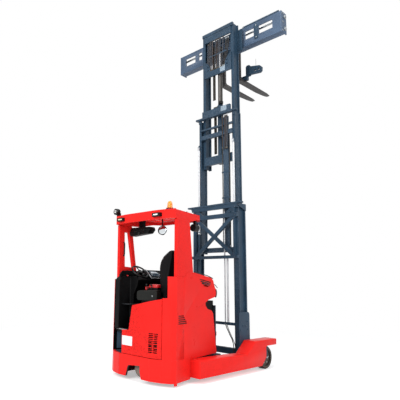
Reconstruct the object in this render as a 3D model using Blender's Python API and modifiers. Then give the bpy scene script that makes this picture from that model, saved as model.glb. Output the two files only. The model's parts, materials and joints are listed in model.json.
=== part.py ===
"""Four-way reach truck with its mast raised, as separate solids on their joints.

Metres. The sizes below are in the truck's own frame: +Y points the way the
forks point, +X is the truck's right, Z is up from the floor, X = 0 is the
middle plane and Y = 0 is the corner where the body's rear bow begins.
Everything hangs from one empty that puts the origin under the middle of the
truck's box.
"""

import math

import bmesh
import bpy
from mathutils import Matrix, Vector

# Gaps: between solids that touch, and between parts that slide past each other
SEAT = 0.0003
GLIDE = 0.005

# Body
HALF_REAR = 0.61           # half width at the rear corners
SIDE_TAPER = 0.183         # the sides close in by this much for each metre forward
BODY_FRONT = 1.14
REAR_BOW = 0.15            # how far the rear face bows out behind the corners
SKIRT_LOW, SKIRT_TOP = 0.05, 0.33
DECK_TOP = 0.33
SHELL = 0.03
FLANK = 0.05
DOOR_LEFT, DOOR_RIGHT = -0.25, 0.465
DOOR_HINGE = (0.457, -0.0948)   # its pin stands on the skirt
HINGE_RADIUS = 0.005
CORNER_IN = 0.53           # inner face of the tall rear right corner
LEDGE_TOP = 1.10           # top of the strip beside the service door
WALL_REAR, WALL_FRONT = 0.74, 0.78
BATTERY_TOP = 1.05
BODY_TOP, LEFT_TOP = 1.38, 1.34
FLOOR_TOP = 0.63

# Guard
GUARD_TOP = 2.28
FASCIA = 0.125
GUARD_UNDER = GUARD_TOP - FASCIA
GUARD_FRONT = 0.80

# Legs and wheels
LEG_OUT, LEG_IN = 0.70, 0.49
LEG_REAR, LEG_TIP = 0.385, 2.34
LEG_LOW = 0.07
BEAM_REAR, BEAM_FRONT = (0.40, 0.50), (1.00, 1.12)
REACH_Z = 0.16
LEG_TOP_REAR, LEG_TOP_MID, LEG_TOP_FRONT = 0.30, 0.275, 0.45
RAMP_FOOT, RAMP_HEAD = 1.49, 1.72
LOAD_WHEEL = (0.595, 2.09)
LOAD_RADIUS, LOAD_WIDTH = 0.175, 0.115
WELL_TOP = 0.375           # ceiling over the load wheels
DRIVE_WHEEL = (-0.04, 0.13)
DRIVE_RADIUS, DRIVE_WIDTH = 0.16, 0.15
DRIVE_WELL = 0.19

# Mast rails, raised: outer and inner face, rear and front plane, lower and upper end
STAGES = {
    "outer": (0.472, 0.395, 1.660, 1.868, 0.18, 2.60),
    "middle": (0.390, 0.347, 1.735, 1.905, 1.81, 4.25),
    "inner": (0.342, 0.288, 1.792, 1.962, 3.34, 5.98),
}
FLANGE, WEB = 0.022, 0.016
ROD_X, ROD_Y, ROD_RADIUS = 0.371, 1.699, 0.0175
HOSE_PIPE = (0.18, 1.680, 0.011)   # across, forward and radius of the pipe up the outer mast
CHAIN_X, CHAIN_WIDE, CHAIN_WHEEL = -0.10, 0.05, 0.045
FREE_ROD, FREE_BARREL_TOP = 0.042, 4.50
CROSS_HEAD = (5.56, 5.63)    # lower and upper face of the free-lift rod's cross-head
LOWER_BEAM = (5.08, 5.19)
CARRIAGE_LOW, CARRIAGE_HIGH = 5.46, 5.92

# Fork frame and forks
FRAME_REAR, FRAME_FRONT = 2.055, 2.225
FRAME_HALF = 1.14
FRAME_LOW, FRAME_HIGH = 5.57, 5.95
FRAME_WINDOWS = ((-1.00, -0.75), (-0.66, -0.58), (0.42, 0.60), (0.70, 0.97))
WINDOW_LOW, WINDOW_HIGH = 5.705, 5.865
TILT_Y, TILT_Z = 2.026, 5.62
GUIDE_Y, GUIDE_RADIUS = 2.165, 0.02
GUIDE_HEIGHTS = (5.65, 5.87)
BLADE_TOP, BLADE_THICK = 5.10, 0.05
FORK_WIDE = 0.10
FORK_HEEL, FORK_TIP = GUIDE_Y + 0.08, 3.28
FORK_PLACES = {"fork_right": 0.15, "fork_left": -0.19}

ORIGIN_Y = (FORK_TIP - REAR_BOW) / 2

# Red, green, blue, roughness and metallic of each finish
COLOURS = {
    "red": (0.78, 0.035, 0.03, 0.35, 0.0),
    "steel": (0.075, 0.105, 0.15, 0.45, 0.2),
    "black": (0.02, 0.02, 0.022, 0.6, 0.0),
    "rubber": (0.025, 0.025, 0.027, 0.8, 0.0),
    "tread": (0.35, 0.32, 0.27, 0.7, 0.0),
    "chrome": (0.6, 0.6, 0.62, 0.2, 1.0),
    "grey": (0.2, 0.21, 0.22, 0.5, 0.0),
    "amber": (0.9, 0.33, 0.02, 0.2, 0.0),
    "lamp": (0.85, 0.85, 0.85, 0.3, 0.0),
}


def clear_scene():
    """Empties the scene, and makes the collection and the materials."""
    for old in list(bpy.data.objects):
        bpy.data.objects.remove(old)
    parts = bpy.data.collections.new("four_way_reach_truck")
    bpy.context.scene.collection.children.link(parts)
    materials = {}
    for name, (red, green, blue, rough, metal) in COLOURS.items():
        material = bpy.data.materials.new(name)
        material.use_nodes = True
        shader = material.node_tree.nodes["Principled BSDF"]
        shader.inputs["Base Color"].default_value = (red, green, blue, 1.0)
        shader.inputs["Roughness"].default_value = rough
        shader.inputs["Metallic"].default_value = metal
        material.diffuse_color = (red, green, blue, 1.0)
        materials[name] = material
    return parts, materials


PARTS, MATERIALS = clear_scene()

# Turns a flat outline's own axes to the plane across X, Y or Z
AXES = {
    "X": Matrix(((0, 0, 1), (1, 0, 0), (0, 1, 0))).to_4x4(),
    "Y": Matrix(((1, 0, 0), (0, 0, -1), (0, 1, 0))).to_4x4(),
    "Z": Matrix.Identity(4),
}


def place_object(name, data, matrix=None):
    """Links an object with its mesh or curve, and gives it a placement."""
    item = bpy.data.objects.new(name, data)
    PARTS.objects.link(item)
    if matrix is not None:
        item.matrix_world = matrix
    return item


def from_bmesh(cage):
    """An object from a finished bmesh."""
    mesh = bpy.data.meshes.new("shape")
    cage.to_mesh(mesh)
    cage.free()
    return place_object("shape", mesh)


def bake(item, weld=0.0):
    """Turns an object with modifiers, or a curve, into a plain mesh in place."""
    bpy.context.view_layer.update()
    graph = bpy.context.evaluated_depsgraph_get()
    mesh = bpy.data.meshes.new_from_object(item.evaluated_get(graph))
    mesh.transform(item.matrix_world)
    if weld:
        cage = bmesh.new()
        cage.from_mesh(mesh)
        bmesh.ops.remove_doubles(cage, verts=cage.verts, dist=weld)
        bmesh.ops.recalc_face_normals(cage, faces=cage.faces)
        cage.to_mesh(mesh)
        cage.free()
    bpy.data.objects.remove(item)
    return place_object("shape", mesh)


def block(low, high):
    """A box between two corners."""
    low, high = Vector(low), Vector(high)
    place = Matrix.Translation((low + high) / 2) @ Matrix.Diagonal((*(high - low), 1.0))
    cage = bmesh.new()
    bmesh.ops.create_cube(cage, size=1.0, matrix=place)
    return from_bmesh(cage)


def bar(start, end, radius, sides=20, end_radius=None):
    """A round bar, or a cone, between two points."""
    start, end = Vector(start), Vector(end)
    run = end - start
    turn = run.to_track_quat("Z", "Y").to_matrix().to_4x4()
    cage = bmesh.new()
    bmesh.ops.create_cone(cage, cap_ends=True, segments=sides, radius1=radius,
                          radius2=radius if end_radius is None else end_radius,
                          depth=run.length, matrix=Matrix.Translation((start + end) / 2) @ turn)
    return from_bmesh(cage)


def plate(outline, axis, low, high):
    """A flat outline with thickness along an axis.

    The outline is in (Y, Z) for axis X, in (X, Z) for Y and in (X, Y) for Z.
    """
    spot = {"X": lambda u, v, w: (w, u, v), "Y": lambda u, v, w: (u, w, v), "Z": lambda u, v, w: (u, v, w)}[axis]
    cage = bmesh.new()
    face = cage.faces.new([cage.verts.new(spot(u, v, low)) for u, v in outline])
    grown = bmesh.ops.extrude_face_region(cage, geom=[face])["geom"]
    shift = Vector(spot(0.0, 0.0, high - low))
    bmesh.ops.translate(cage, verts=[v for v in grown if isinstance(v, bmesh.types.BMVert)], vec=shift)
    bmesh.ops.recalc_face_normals(cage, faces=cage.faces)
    return from_bmesh(cage)


def turned(profile, centre, axis="Z", steps=32):
    """A solid of revolution from (radius, height) points, listed top to bottom."""
    mesh = bpy.data.meshes.new("profile")
    verts = [(radius, 0.0, height) for radius, height in profile]
    mesh.from_pydata(verts, [(i, i + 1) for i in range(len(verts) - 1)], [])
    item = place_object("turned", mesh, Matrix.Translation(centre) @ AXES[axis])
    screw = item.modifiers.new("screw", "SCREW")
    screw.steps = screw.render_steps = steps
    screw.use_merge_vertices = True
    screw.merge_threshold = 0.0001
    return bake(item, weld=0.00005)


def boolean(base, others, operation):
    """Joins solids to a base, cuts them from it or keeps what they share."""
    for other in others:
        step = base.modifiers.new(operation.lower(), "BOOLEAN")
        step.operation = operation
        step.object = other
    base = bake(base)
    for other in others:
        bpy.data.objects.remove(other)
    return base


def build(base, *added, cut=()):
    """One solid from a base, what is fused to it and what is cut from it."""
    if added:
        base = boolean(base, added, "UNION")
    if cut:
        base = boolean(base, cut, "DIFFERENCE")
    return base


def intersect(base, *others):
    """What a solid shares with each of the others."""
    return boolean(base, others, "INTERSECT")


def mirrored(item, keep=True):
    """The same solid on the other side of the middle plane."""
    mesh = item.data.copy()
    mesh.transform(Matrix.Scale(-1.0, 4, (1, 0, 0)))
    mesh.flip_normals()
    if not keep:
        bpy.data.objects.remove(item)
    return place_object("mirrored", mesh)


def both_sides(item):
    """A solid and its mirror image, as a pair to fuse or cut."""
    return [item, mirrored(item)]


def rounded(item, width, segments=2, angle=40):
    """Rounds the sharp edges of a solid."""
    bevel = item.modifiers.new("bevel", "BEVEL")
    bevel.width = width
    bevel.segments = segments
    bevel.limit_method = "ANGLE"
    bevel.angle_limit = math.radians(angle)
    return bake(item)


def arc(centre, radius, start, end, count):
    """Points on an arc, angles in degrees."""
    step = (end - start) / (count - 1)
    angles = [math.radians(start + step * i) for i in range(count)]
    return [(centre[0] + radius * math.cos(a), centre[1] + radius * math.sin(a)) for a in angles]


class Truck:
    """The empties on the joints, and the nodes that hang from them."""

    def __init__(self):
        self.pivots = {"chassis": Vector((0, 0, 0))}
        self.empties = {"chassis": place_object("truck_origin", None)}
        self.empties["chassis"].location = (0, -ORIGIN_Y, 0)

    def body(self, name, parent, pivot):
        """An empty on a joint's axis, under the body that carries it."""
        empty = place_object(name + "_axis", None)
        empty.parent = self.empties[parent]
        empty.location = Vector(pivot) - self.pivots[parent]
        self.pivots[name] = Vector(pivot)
        self.empties[name] = empty

    def node(self, name, item, finish, body="chassis", smooth=35):
        """Names a finished solid and hangs it from its body."""
        item.name = item.data.name = name
        item.data.transform(Matrix.Translation(-self.pivots[body]))
        item.data.materials.clear()
        item.data.materials.append(MATERIALS[finish])
        for face in item.data.polygons:
            face.material_index = 0
        item.data.shade_smooth()
        item.data.set_sharp_from_angle(angle=math.radians(smooth))
        item.parent = self.empties[body]


def side_x(y):
    """Half width of the body at a distance forward of the rear corners."""
    return HALF_REAR - SIDE_TAPER * y


def inner_half(y):
    """Half width between the flank covers."""
    return side_x(y) - FLANK - SEAT


def rear_outline(inset=0.0, front=0.36):
    """Plan of the body's bowed rear end, closed across at a distance forward."""
    half = [(side_x(front) - inset, front), (HALF_REAR - 0.005 - inset, 0.03),
            (0.575 - inset, -0.035 + inset * 0.8), (0.47 - inset * 0.5, -0.10 + inset),
            (0.30, -REAR_BOW + inset)]
    return half + [(-x, y) for x, y in reversed(half)]


def flank(low, high, reach=1.5, rear=-0.3):
    """What lies between two inward offsets from the tapered right side."""
    run = [(side_x(rear) - low, rear), (side_x(reach) - low, reach),
           (side_x(reach) - high, reach), (side_x(rear) - high, rear)]
    return plate(run, "Z", 0.0, 2.6)


def add_base(truck):
    """Deck plate with its drive well, the front wall, and the cross-beams between the legs."""
    inner = LEG_IN - SEAT
    front = BODY_FRONT - 0.01
    deck = [(inner_half(front), front), (inner_half(0.06), 0.06), (0.54, -0.005), (0.45, -0.066),
            (0.295, -REAR_BOW + SHELL + 2 * SEAT)]
    deck = deck + [(-x, y) for x, y in reversed(deck)]
    beams = []
    for low, high in (BEAM_REAR, BEAM_FRONT):
        beams += [block((-inner, low, 0.09), (inner, high, LEG_TOP_REAR - SEAT)),
                  block((-0.34, low + 0.005, 0.10), (0.34, high - 0.005, DECK_TOP - 0.01))]
    well = bar((*DRIVE_WHEEL, 0.2), (*DRIVE_WHEEL, 0.5), DRIVE_WELL, sides=40)
    bore = bar((0, BEAM_FRONT[0] - 0.05, REACH_Z), (0, BEAM_FRONT[1] + 0.05, REACH_Z), 0.0175, 20)
    wall = block((-0.385, BODY_FRONT + 0.0005, LEG_TOP_REAR + 0.01), (0.385, BODY_FRONT + 0.012, 0.98))
    sill = block((-0.33, front - 0.02, LEG_TOP_REAR + 0.005), (0.33, BODY_FRONT + 0.006, DECK_TOP - 0.002))
    base = build(plate(deck, "Z", LEG_TOP_REAR + SEAT, DECK_TOP), *beams, sill, wall, cut=[well, bore])
    truck.node("base_frame", base, "steel")


def add_skirt(truck):
    """Bowed rear skirt with the opening that the drive wheel shows through."""
    outer = plate(rear_outline(front=LEG_REAR - SEAT), "Z", SKIRT_LOW, SKIRT_TOP)
    inner = plate(rear_outline(inset=SHELL, front=LEG_REAR + 0.1), "Z", SKIRT_LOW - 0.1, SKIRT_TOP + 0.1)
    arch = plate([(-0.15, 0.0), (-0.085, 0.165), (0.11, 0.165), (0.165, 0.0)], "Y", -0.3, -0.08)
    pin = bar((*DOOR_HINGE, SKIRT_TOP - 0.02), (*DOOR_HINGE, SKIRT_TOP + 0.07), HINGE_RADIUS, 12)
    truck.node("rear_skirt", build(outer, pin, cut=[inner, arch]), "red")


def cover_profile():
    """Side view of a flank cover: foot, notch, nose and sloping top."""
    seat = SKIRT_TOP + SEAT
    low = LEG_TOP_REAR + SEAT
    nose = arc((1.075, 1.175), 0.075, -80, 60, 7)
    return [(-0.2, seat), (LEG_REAR + 0.002, seat), (LEG_REAR + 0.002, low), (BODY_FRONT, low),
            (1.04, 0.87), (0.995, 0.912), (0.871, 0.938), (0.811, 0.989), (0.812, 1.03),
            (0.90, 1.068), *nose, (1.085, 1.28), (1.055, 1.345), (1.00, 1.385),
            (0.46, 1.45), (0.30, 1.45), (0.25, BODY_TOP), (-0.2, BODY_TOP)]


def slanted_slot(y, z, wide, tall):
    """A vent slot sunk into the right flank, leaning forward as it rises."""
    lean = tall * 0.35
    outline = [(y - wide / 2, z - tall / 2), (y + wide / 2, z - tall / 2),
               (y + wide / 2 + lean, z + tall / 2), (y - wide / 2 + lean, z + tall / 2)]
    return plate(outline, "X", side_x(y) - 0.018, side_x(y) + 0.05)


def add_covers(truck):
    """Flank covers; the right one takes in the tall rear corner and its vents."""
    bow = rear_outline(front=1.3)
    wall = intersect(plate(cover_profile(), "X", 0.2, 0.8), flank(0.0, FLANK), plate(bow, "Z", 0.0, 2.0))
    left = build(mirrored(wall), cut=[block((-0.9, -0.3, LEFT_TOP), (0.0, 1.3, 2.0)),
                                      block((-0.9, -0.3, 0.2), (0.0, -0.035, 2.0))])
    hem = DOOR_RIGHT + 0.008
    corner = [(hem, -0.3), (0.7, -0.3), (0.7, 0.22), (CORNER_IN, 0.22), (CORNER_IN, -0.03), (hem, -0.03)]
    tail = intersect(plate(rear_outline(), "Z", SKIRT_TOP + SEAT, BODY_TOP), plate(corner, "Z", 0.0, 2.0))
    tail = build(tail, cut=[block((hem - 0.1, -0.3, LEDGE_TOP), (CORNER_IN, 0.3, 2.0))])
    vents = [slanted_slot(0.74, 1.335 - 0.028 * i, 0.05, 0.013) for i in range(3)]
    vents += [slanted_slot(0.82, 1.325 - 0.028 * i, 0.05, 0.013) for i in range(3)]
    vents += [slanted_slot(0.13 + 0.04 * i, 0.84 - 0.008 * i, 0.014, 0.08) for i in range(4)]
    truck.node("right_cover", build(wall, tail, cut=vents), "red")
    truck.node("left_cover", left, "red")


def add_door(truck):
    """Hinged service door, stepped at its left for the foot well, with vent slots."""
    truck.body("service_door", "chassis", (*DOOR_HINGE, 0.7))
    outline = [(DOOR_LEFT, SKIRT_TOP + 0.008), (DOOR_RIGHT, SKIRT_TOP + 0.008),
               (DOOR_RIGHT, LEDGE_TOP - 0.01), (-0.055, 0.985), (-0.115, 0.655), (DOOR_LEFT, 0.645)]
    skin = build(plate(rear_outline(), "Z", 0.0, 2.0), cut=[plate(rear_outline(inset=SHELL), "Z", -0.1, 2.1)])
    door = intersect(plate(outline, "Y", -0.4, 0.1), skin)
    slots = []
    for row in range(6):
        z = 0.40 + 0.042 * row
        slots += [block((x, -0.3, z), (x + 0.052, 0.1, z + 0.012)) for x in (0.275, 0.355)]
    bore = bar((*DOOR_HINGE, 0.0), (*DOOR_HINGE, SKIRT_TOP + 0.075), HINGE_RADIUS + SEAT, 12)
    truck.node("service_door", build(door, cut=[*slots, bore]), "red", "service_door")


def add_floor(truck):
    """Cab floor with the foot step's riser, and the wall to the battery bay."""
    rear = -REAR_BOW + SHELL + 0.006
    floor = [(inner_half(0.0) - 0.005, 0.0), (0.42, -0.06), (0.29, rear), (-0.29, rear), (-0.42, -0.06),
             (-inner_half(0.0) + 0.005, 0.0), (-inner_half(WALL_REAR), WALL_REAR),
             (inner_half(WALL_REAR), WALL_REAR)]
    riser = [(-0.28, rear + 0.01), (-0.26, rear + 0.01), (-0.26, 0.40), (-inner_half(0.40), 0.40),
             (-inner_half(0.38), 0.38), (-0.28, 0.38)]
    right_corner = block((DOOR_RIGHT - 0.02, -0.3, 0.3), (0.8, 0.22 + SEAT, 1.5))
    slab = build(plate(floor, "Z", FLOOR_TOP - 0.03, FLOOR_TOP),
                 plate(riser, "Z", DECK_TOP + SEAT, FLOOR_TOP - 0.01), cut=[right_corner])
    slab = build(slab, cut=[plate([(-0.8, -0.3), (-0.28, -0.3), (-0.28, -0.02), (-0.8, 0.0)], "Z", 0.3, 0.8)])
    truck.node("cab_floor", slab, "black")
    half = inner_half(WALL_FRONT)
    outline = [(-half, DECK_TOP + SEAT), (half, DECK_TOP + SEAT), (half, BODY_TOP - 0.02), (-half, LEFT_TOP - 0.02)]
    truck.node("cab_wall", plate(outline, "Y", WALL_REAR + SEAT, WALL_FRONT), "black")


def add_power(truck):
    """Battery as one block and the hood over it."""
    rear, front = WALL_FRONT + SEAT, BODY_FRONT - 0.01
    half = inner_half(front)
    truck.node("battery", block((-half, rear + 0.01, DECK_TOP + SEAT), (half, front, BATTERY_TOP)), "steel")
    hood = [(rear, BATTERY_TOP + 0.01), (1.04, 1.075), (1.09, 1.14), (1.10, 1.20), (1.08, 1.27), (1.035, 1.33),
            (0.98, 1.36), (rear, BODY_TOP)]
    truck.node("power_hood", plate(hood, "X", -half, half), "black")


def guard_plan(inset):
    """Plan of the overhead guard, set in from its edge."""
    front = GUARD_FRONT
    half = [(side_x(front) - 0.10 - inset, front - inset), (side_x(front) - inset, front - 0.12),
            (HALF_REAR - 0.012 - inset, 0.0), (0.56 - inset, -0.05 + inset), (0.30, -0.09 + inset)]
    return half + [(-x, y) for x, y in reversed(half)]


def add_guard(truck):
    """Overhead guard, its pierced left post and its broad right pillar."""
    thick = 0.035
    shell = plate(guard_plan(0.0), "Z", GUARD_UNDER, GUARD_TOP)
    hollow = plate(guard_plan(thick), "Z", GUARD_UNDER - 0.1, GUARD_TOP - thick)
    lift = [(0.38, GUARD_UNDER - 0.2), (0.38, GUARD_UNDER), (GUARD_FRONT - 0.15, GUARD_TOP - 0.07),
            (GUARD_FRONT + 0.1, GUARD_TOP - 0.07), (GUARD_FRONT + 0.1, GUARD_UNDER - 0.2)]
    slots = [block((-0.33, y, GUARD_TOP - 0.1), (0.33, y + 0.085, GUARD_TOP + 0.1))
             for y in (0.10, 0.235, 0.37, 0.505)]
    roof = build(shell, cut=[hollow, plate(lift, "X", -0.8, 0.8), *slots])
    truck.node("overhead_guard", roof, "red")
    cap = GUARD_UNDER - SEAT
    post = [(0.02, cap), (0.03, LEFT_TOP + SEAT), (0.35, LEFT_TOP + SEAT), (0.235, cap)]
    opening = [(0.108, cap - 0.105), (0.125, LEFT_TOP + 0.19), (0.268, LEFT_TOP + 0.18), (0.18, cap - 0.105)]
    left = intersect(plate(post, "X", 0.2, 0.8), flank(0.0, FLANK))
    left = mirrored(build(left, cut=[plate(opening, "X", 0.1, 0.9)]), keep=False)
    truck.node("left_post", left, "red")
    pillar = [(0.03, cap), (0.03, BODY_TOP + SEAT), (0.25, BODY_TOP + SEAT), (0.2995, 1.45 + SEAT),
              (0.46, 1.45 + SEAT), (0.365, cap)]
    truck.node("right_pillar", intersect(plate(pillar, "X", 0.2, 0.8), flank(0.0, FLANK)), "red")


def add_cab(truck):
    """Console, steering wheel, seat, armrest and what hangs under the guard."""
    rim = 1.385
    console = [(-0.65, FLOOR_TOP + SEAT), (-0.65, rim), (-0.36, rim), (-0.27, 1.34), (-0.30, 1.24),
               (-0.37, 1.12), (-0.38, FLOOR_TOP + SEAT)]
    lining = [(-0.03, FLOOR_TOP + SEAT), *arc((0.04, rim - 0.07), 0.07, 180, 90, 5), (0.3, rim),
              (0.3, FLOOR_TOP + SEAT)]
    lining = intersect(mirrored(plate(lining, "X", 0.2, 0.8), keep=False),
                       mirrored(flank(FLANK + SEAT, FLANK + 0.09), keep=False))
    dash = intersect(plate(console, "Y", 0.16, 0.70), mirrored(flank(FLANK + SEAT, 0.9), keep=False))
    truck.node("dash_console", build(dash, lining), "black")
    hub = Vector((-0.345, 0.26, 1.455))
    tilt = Vector((0.62, 0.0, 0.78)).normalized()
    across = Vector((0, 1, 0))
    up = tilt.cross(across)
    section = [(0.13 + 0.013 * math.cos(a), 0.013 * math.sin(a))
               for a in (math.radians(-45 * i) for i in range(9))]
    ring = turned(section, (0, 0, 0), steps=24)
    ring.matrix_world = Matrix.Translation(hub) @ tilt.to_track_quat("Z", "Y").to_matrix().to_4x4()
    spokes = [bar(hub + 0.01 * across, hub + 0.13 * (math.cos(a) * across + math.sin(a) * up), 0.008, 10)
              for a in (math.radians(d) for d in (87, 207, 333))]
    wheel = build(bake(ring), *spokes, bar(hub - 0.02 * tilt, hub + 0.015 * tilt, 0.035, 20),
                  bar(hub - 0.12 * tilt, hub, 0.022, 16))
    top = plate([(x + 0.0003, z + 0.0003) for x, z in console], "Y", 0.16, 0.70)
    truck.node("steering_wheel", build(wheel, cut=[top]), "black")
    pedestal = block((-0.20, 0.22, FLOOR_TOP + SEAT), (0.22, 0.60, 0.97))
    truck.node("seat_base", rounded(pedestal, 0.02), "black")
    cushion = [(-0.26, 0.985), (-0.27, 1.05), (-0.22, 1.09), (0.14, 1.07), (0.16, 0.9703), (-0.20, 0.9703)]
    truck.node("seat_cushion", rounded(plate(cushion, "Y", 0.18, 0.64), 0.02), "black")
    back = [(0.163, 0.9703), (0.163, 1.05), (0.145, 1.10), (0.12, 1.33), (0.17, 1.60), (0.24, 1.745), (0.31, 1.765),
            (0.365, 1.73), (0.32, 1.50), (0.27, 1.20), (0.27, 0.9703)]
    truck.node("seat_back", rounded(plate(back, "Y", 0.19, 0.63), 0.02), "black")
    arm = block((-0.20, 0.07, 1.10), (0.20, 0.16, 1.17))
    stay = block((0.02, 0.09, FLOOR_TOP + SEAT), (0.12, 0.15, 1.12))
    truck.node("armrest", build(rounded(arm, 0.015), stay), "black")


def add_fittings(truck):
    """Lamps, beacon, horn, cab fan and mirror."""
    beacon = turned([(0.0, 0.125), (0.02, 0.12), (0.032, 0.10), (0.038, 0.035), (0.046, 0.03), (0.05, 0.0),
                     (0.0, 0.0)], (0.47, 0.03, GUARD_TOP + SEAT), steps=24)
    truck.node("beacon", beacon, "amber")
    light = build(bar((-0.54, -0.03, GUARD_TOP + 0.065), (-0.54, -0.09, GUARD_TOP + 0.065), 0.047, 24),
                  block((-0.565, -0.045, GUARD_TOP + SEAT), (-0.515, 0.0, GUARD_TOP + 0.05)))
    truck.node("work_light", light, "black")
    for name, x, y in (("rear_lamp_left", -0.40, -0.09), ("rear_lamp_right", 0.35, -0.10)):
        lamp = build(block((x - 0.07, y - 0.03, GUARD_TOP - 0.095), (x + 0.07, y + 0.08, GUARD_TOP - 0.045)),
                     cut=[plate(guard_plan(-SEAT), "Z", GUARD_UNDER, GUARD_TOP)])
        truck.node(name, lamp, "lamp")
    ceiling = GUARD_TOP - 0.035 - SEAT
    hang = GUARD_TOP - 0.17
    bracket = block((-0.30, 0.175, hang - 0.02), (-0.20, 0.225, ceiling))
    housing = [(-0.48, hang - 0.07), (-0.45, hang - 0.125), (-0.07, hang - 0.10), (-0.02, hang - 0.05),
               (-0.04, hang - 0.005), (-0.44, hang + 0.005)]
    truck.node("cab_fan", build(rounded(plate(housing, "Y", 0.14, 0.26), 0.012, angle=20), bracket), "black")
    mirror = build(turned([(0.0, 0.02), (0.05, 0.015), (0.07, 0.0), (0.06, -0.012), (0.0, -0.012)],
                          (0.17, 0.21, hang - 0.07), axis="Y", steps=24),
                   bar((0.17, 0.2, hang - 0.01), (0.17, 0.2, ceiling), 0.01, 12))
    truck.node("cab_mirror", mirror, "black")
    horn = build(bar((0.40, 0.60, hang - 0.01), (0.40, 0.69, hang - 0.01), 0.055, 24),
                 block((0.38, 0.63, hang + 0.01), (0.42, 0.66, ceiling)))
    truck.node("horn", horn, "black")


def add_legs(truck):
    """Hollowed front legs with a reach channel inside and a wheel well at the tip."""
    x, y = LOAD_WHEEL
    side = [(LEG_REAR, LEG_LOW), (LEG_REAR, LEG_TOP_REAR), (1.14, 0.287), (RAMP_FOOT, LEG_TOP_MID),
            (RAMP_HEAD, LEG_TOP_FRONT), (LEG_TIP, LEG_TOP_FRONT), (LEG_TIP, 0.355), (2.06, 0.355),
            (2.05, 0.28), (2.03, 0.19), (1.90, LEG_LOW)]
    leg = rounded(plate(side, "X", LEG_IN, LEG_OUT), 0.012, angle=20)
    well = block((LEG_IN - 0.1, y - 0.195, -0.1), (x + 0.077, LEG_TIP + 0.2, WELL_TOP))
    swing = block((x, y - 0.07, -0.1), (LEG_OUT + 0.1, LEG_TIP + 0.2, 0.352))
    channel = block((LEG_IN - 0.1, 1.15, 0.12), (LEG_IN + 0.042, y, 0.225))
    bore = bar((x, y, 0.3), (x, y, 0.44), 0.0283, 28)
    leg = build(leg, cut=[well, swing, channel, bore])
    truck.node("right_leg", leg, "red")
    truck.node("left_leg", mirrored(leg), "red")


def tyre(radius, width, bore):
    """Half profile of a solid-tyred wheel with a dished hub, top to bottom."""
    half = width / 2
    return [(bore, half - 0.006), (bore + 0.03, half - 0.006), (bore + 0.035, half - 0.02),
            (radius * 0.68, half - 0.02), (radius * 0.72, half), (radius - 0.012, half), (radius, half - 0.014),
            (radius, 0.014 - half), (radius - 0.012, -half), (radius * 0.72, -half),
            (radius * 0.68, 0.02 - half), (bore + 0.035, 0.02 - half), (bore + 0.03, 0.006 - half),
            (bore, 0.006 - half), (bore, half - 0.006)]


def add_load_wheels(truck):
    """Steered yokes under the leg tips and the wheels that run in them."""
    for side, name in ((1, "right"), (-1, "left")):
        x, y = side * LOAD_WHEEL[0], LOAD_WHEEL[1]
        z = LOAD_RADIUS
        steer, spin = f"{name}_yoke", f"{name}_load_wheel"
        truck.body(steer, "chassis", (x, y, z))
        truck.body(spin, steer, (x, y, z))
        half = LOAD_WIDTH / 2
        top = WELL_TOP - SEAT
        crown = turned([(0.0, 0.437), (0.028, 0.437), (0.028, top), (0.074, top), (0.074, top - 0.018),
                        (0.0, top - 0.018)], (x, y, 0.0), steps=28)
        cheeks = []
        for low, high in ((-half - 0.012, -half - 0.003), (half + 0.003, half + 0.012)):
            outline = [(y - 0.025, top - 0.009), (y - 0.028, z), (y - 0.018, z - 0.028), (y + 0.018, z - 0.028),
                       (y + 0.028, z), (y + 0.025, top - 0.009)]
            cheeks.append(plate(outline, "X", x + low, x + high))
        axle = bar((x - half - 0.01, y, z), (x + half + 0.01, y, z), 0.016, 20)
        truck.node(steer, build(crown, *cheeks, axle), "steel", steer)
        wheel = turned([(r, h) for r, h in tyre(LOAD_RADIUS, LOAD_WIDTH, 0.0163)], (0, 0, 0), steps=36)
        wheel.matrix_world = Matrix.Translation((x, y, z)) @ Matrix.Rotation(math.radians(90), 4, "Y")
        truck.node(spin, bake(wheel), "rubber", spin)


def add_drive(truck):
    """Drive unit on its turntable and the drive wheel on its stub."""
    x, y = DRIVE_WHEEL
    z = DRIVE_RADIUS
    truck.body("drive_unit", "chassis", (x, y, z))
    truck.body("drive_wheel", "drive_unit", (x, y, z))
    half = DRIVE_WIDTH / 2
    table = bar((x, y, DECK_TOP + SEAT), (x, y, DECK_TOP + 0.025), DRIVE_WELL + 0.02, 40)
    motor = bar((x, y, DECK_TOP + 0.02), (x, y, FLOOR_TOP - 0.045), 0.115, 32)
    box = block((x - half - 0.05, y - 0.08, 0.075), (x - half - 0.006, y + 0.08, DECK_TOP + 0.01))
    stub = bar((x - half - 0.03, y, z), (x + half - 0.03, y, z), 0.03, 24)
    truck.node("drive_unit", build(table, motor, box, stub), "steel", "drive_unit")
    wheel = turned(tyre(DRIVE_RADIUS, DRIVE_WIDTH, 0.0303), (0, 0, 0), steps=36)
    wheel.matrix_world = Matrix.Translation((x, y, z)) @ Matrix.Rotation(math.radians(90), 4, "Y")
    truck.node("drive_wheel", bake(wheel), "tread", "drive_wheel")


def rail(stage):
    """The right rail of a mast stage, an I section."""
    out, inn, rear, front, low, high = STAGES[stage]
    mid = (out + inn) / 2
    outline = [(inn, rear), (out, rear), (out, rear + FLANGE), (mid + WEB / 2, rear + FLANGE),
               (mid + WEB / 2, front - FLANGE), (out, front - FLANGE), (out, front), (inn, front),
               (inn, front - FLANGE), (mid - WEB / 2, front - FLANGE), (mid - WEB / 2, rear + FLANGE),
               (inn, rear + FLANGE)]
    return plate(outline, "Z", low, high)


def pad(stage, outer_stage, z):
    """A slide pad on a stage's web that runs on the flange of the stage around it."""
    out, inn = STAGES[stage][:2]
    face, rim = STAGES[outer_stage][1], STAGES[outer_stage][3]
    return block(((out + inn) / 2, rim - FLANGE + 0.001, z - 0.05), (face - SEAT, rim - 0.002, z + 0.05))


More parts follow.
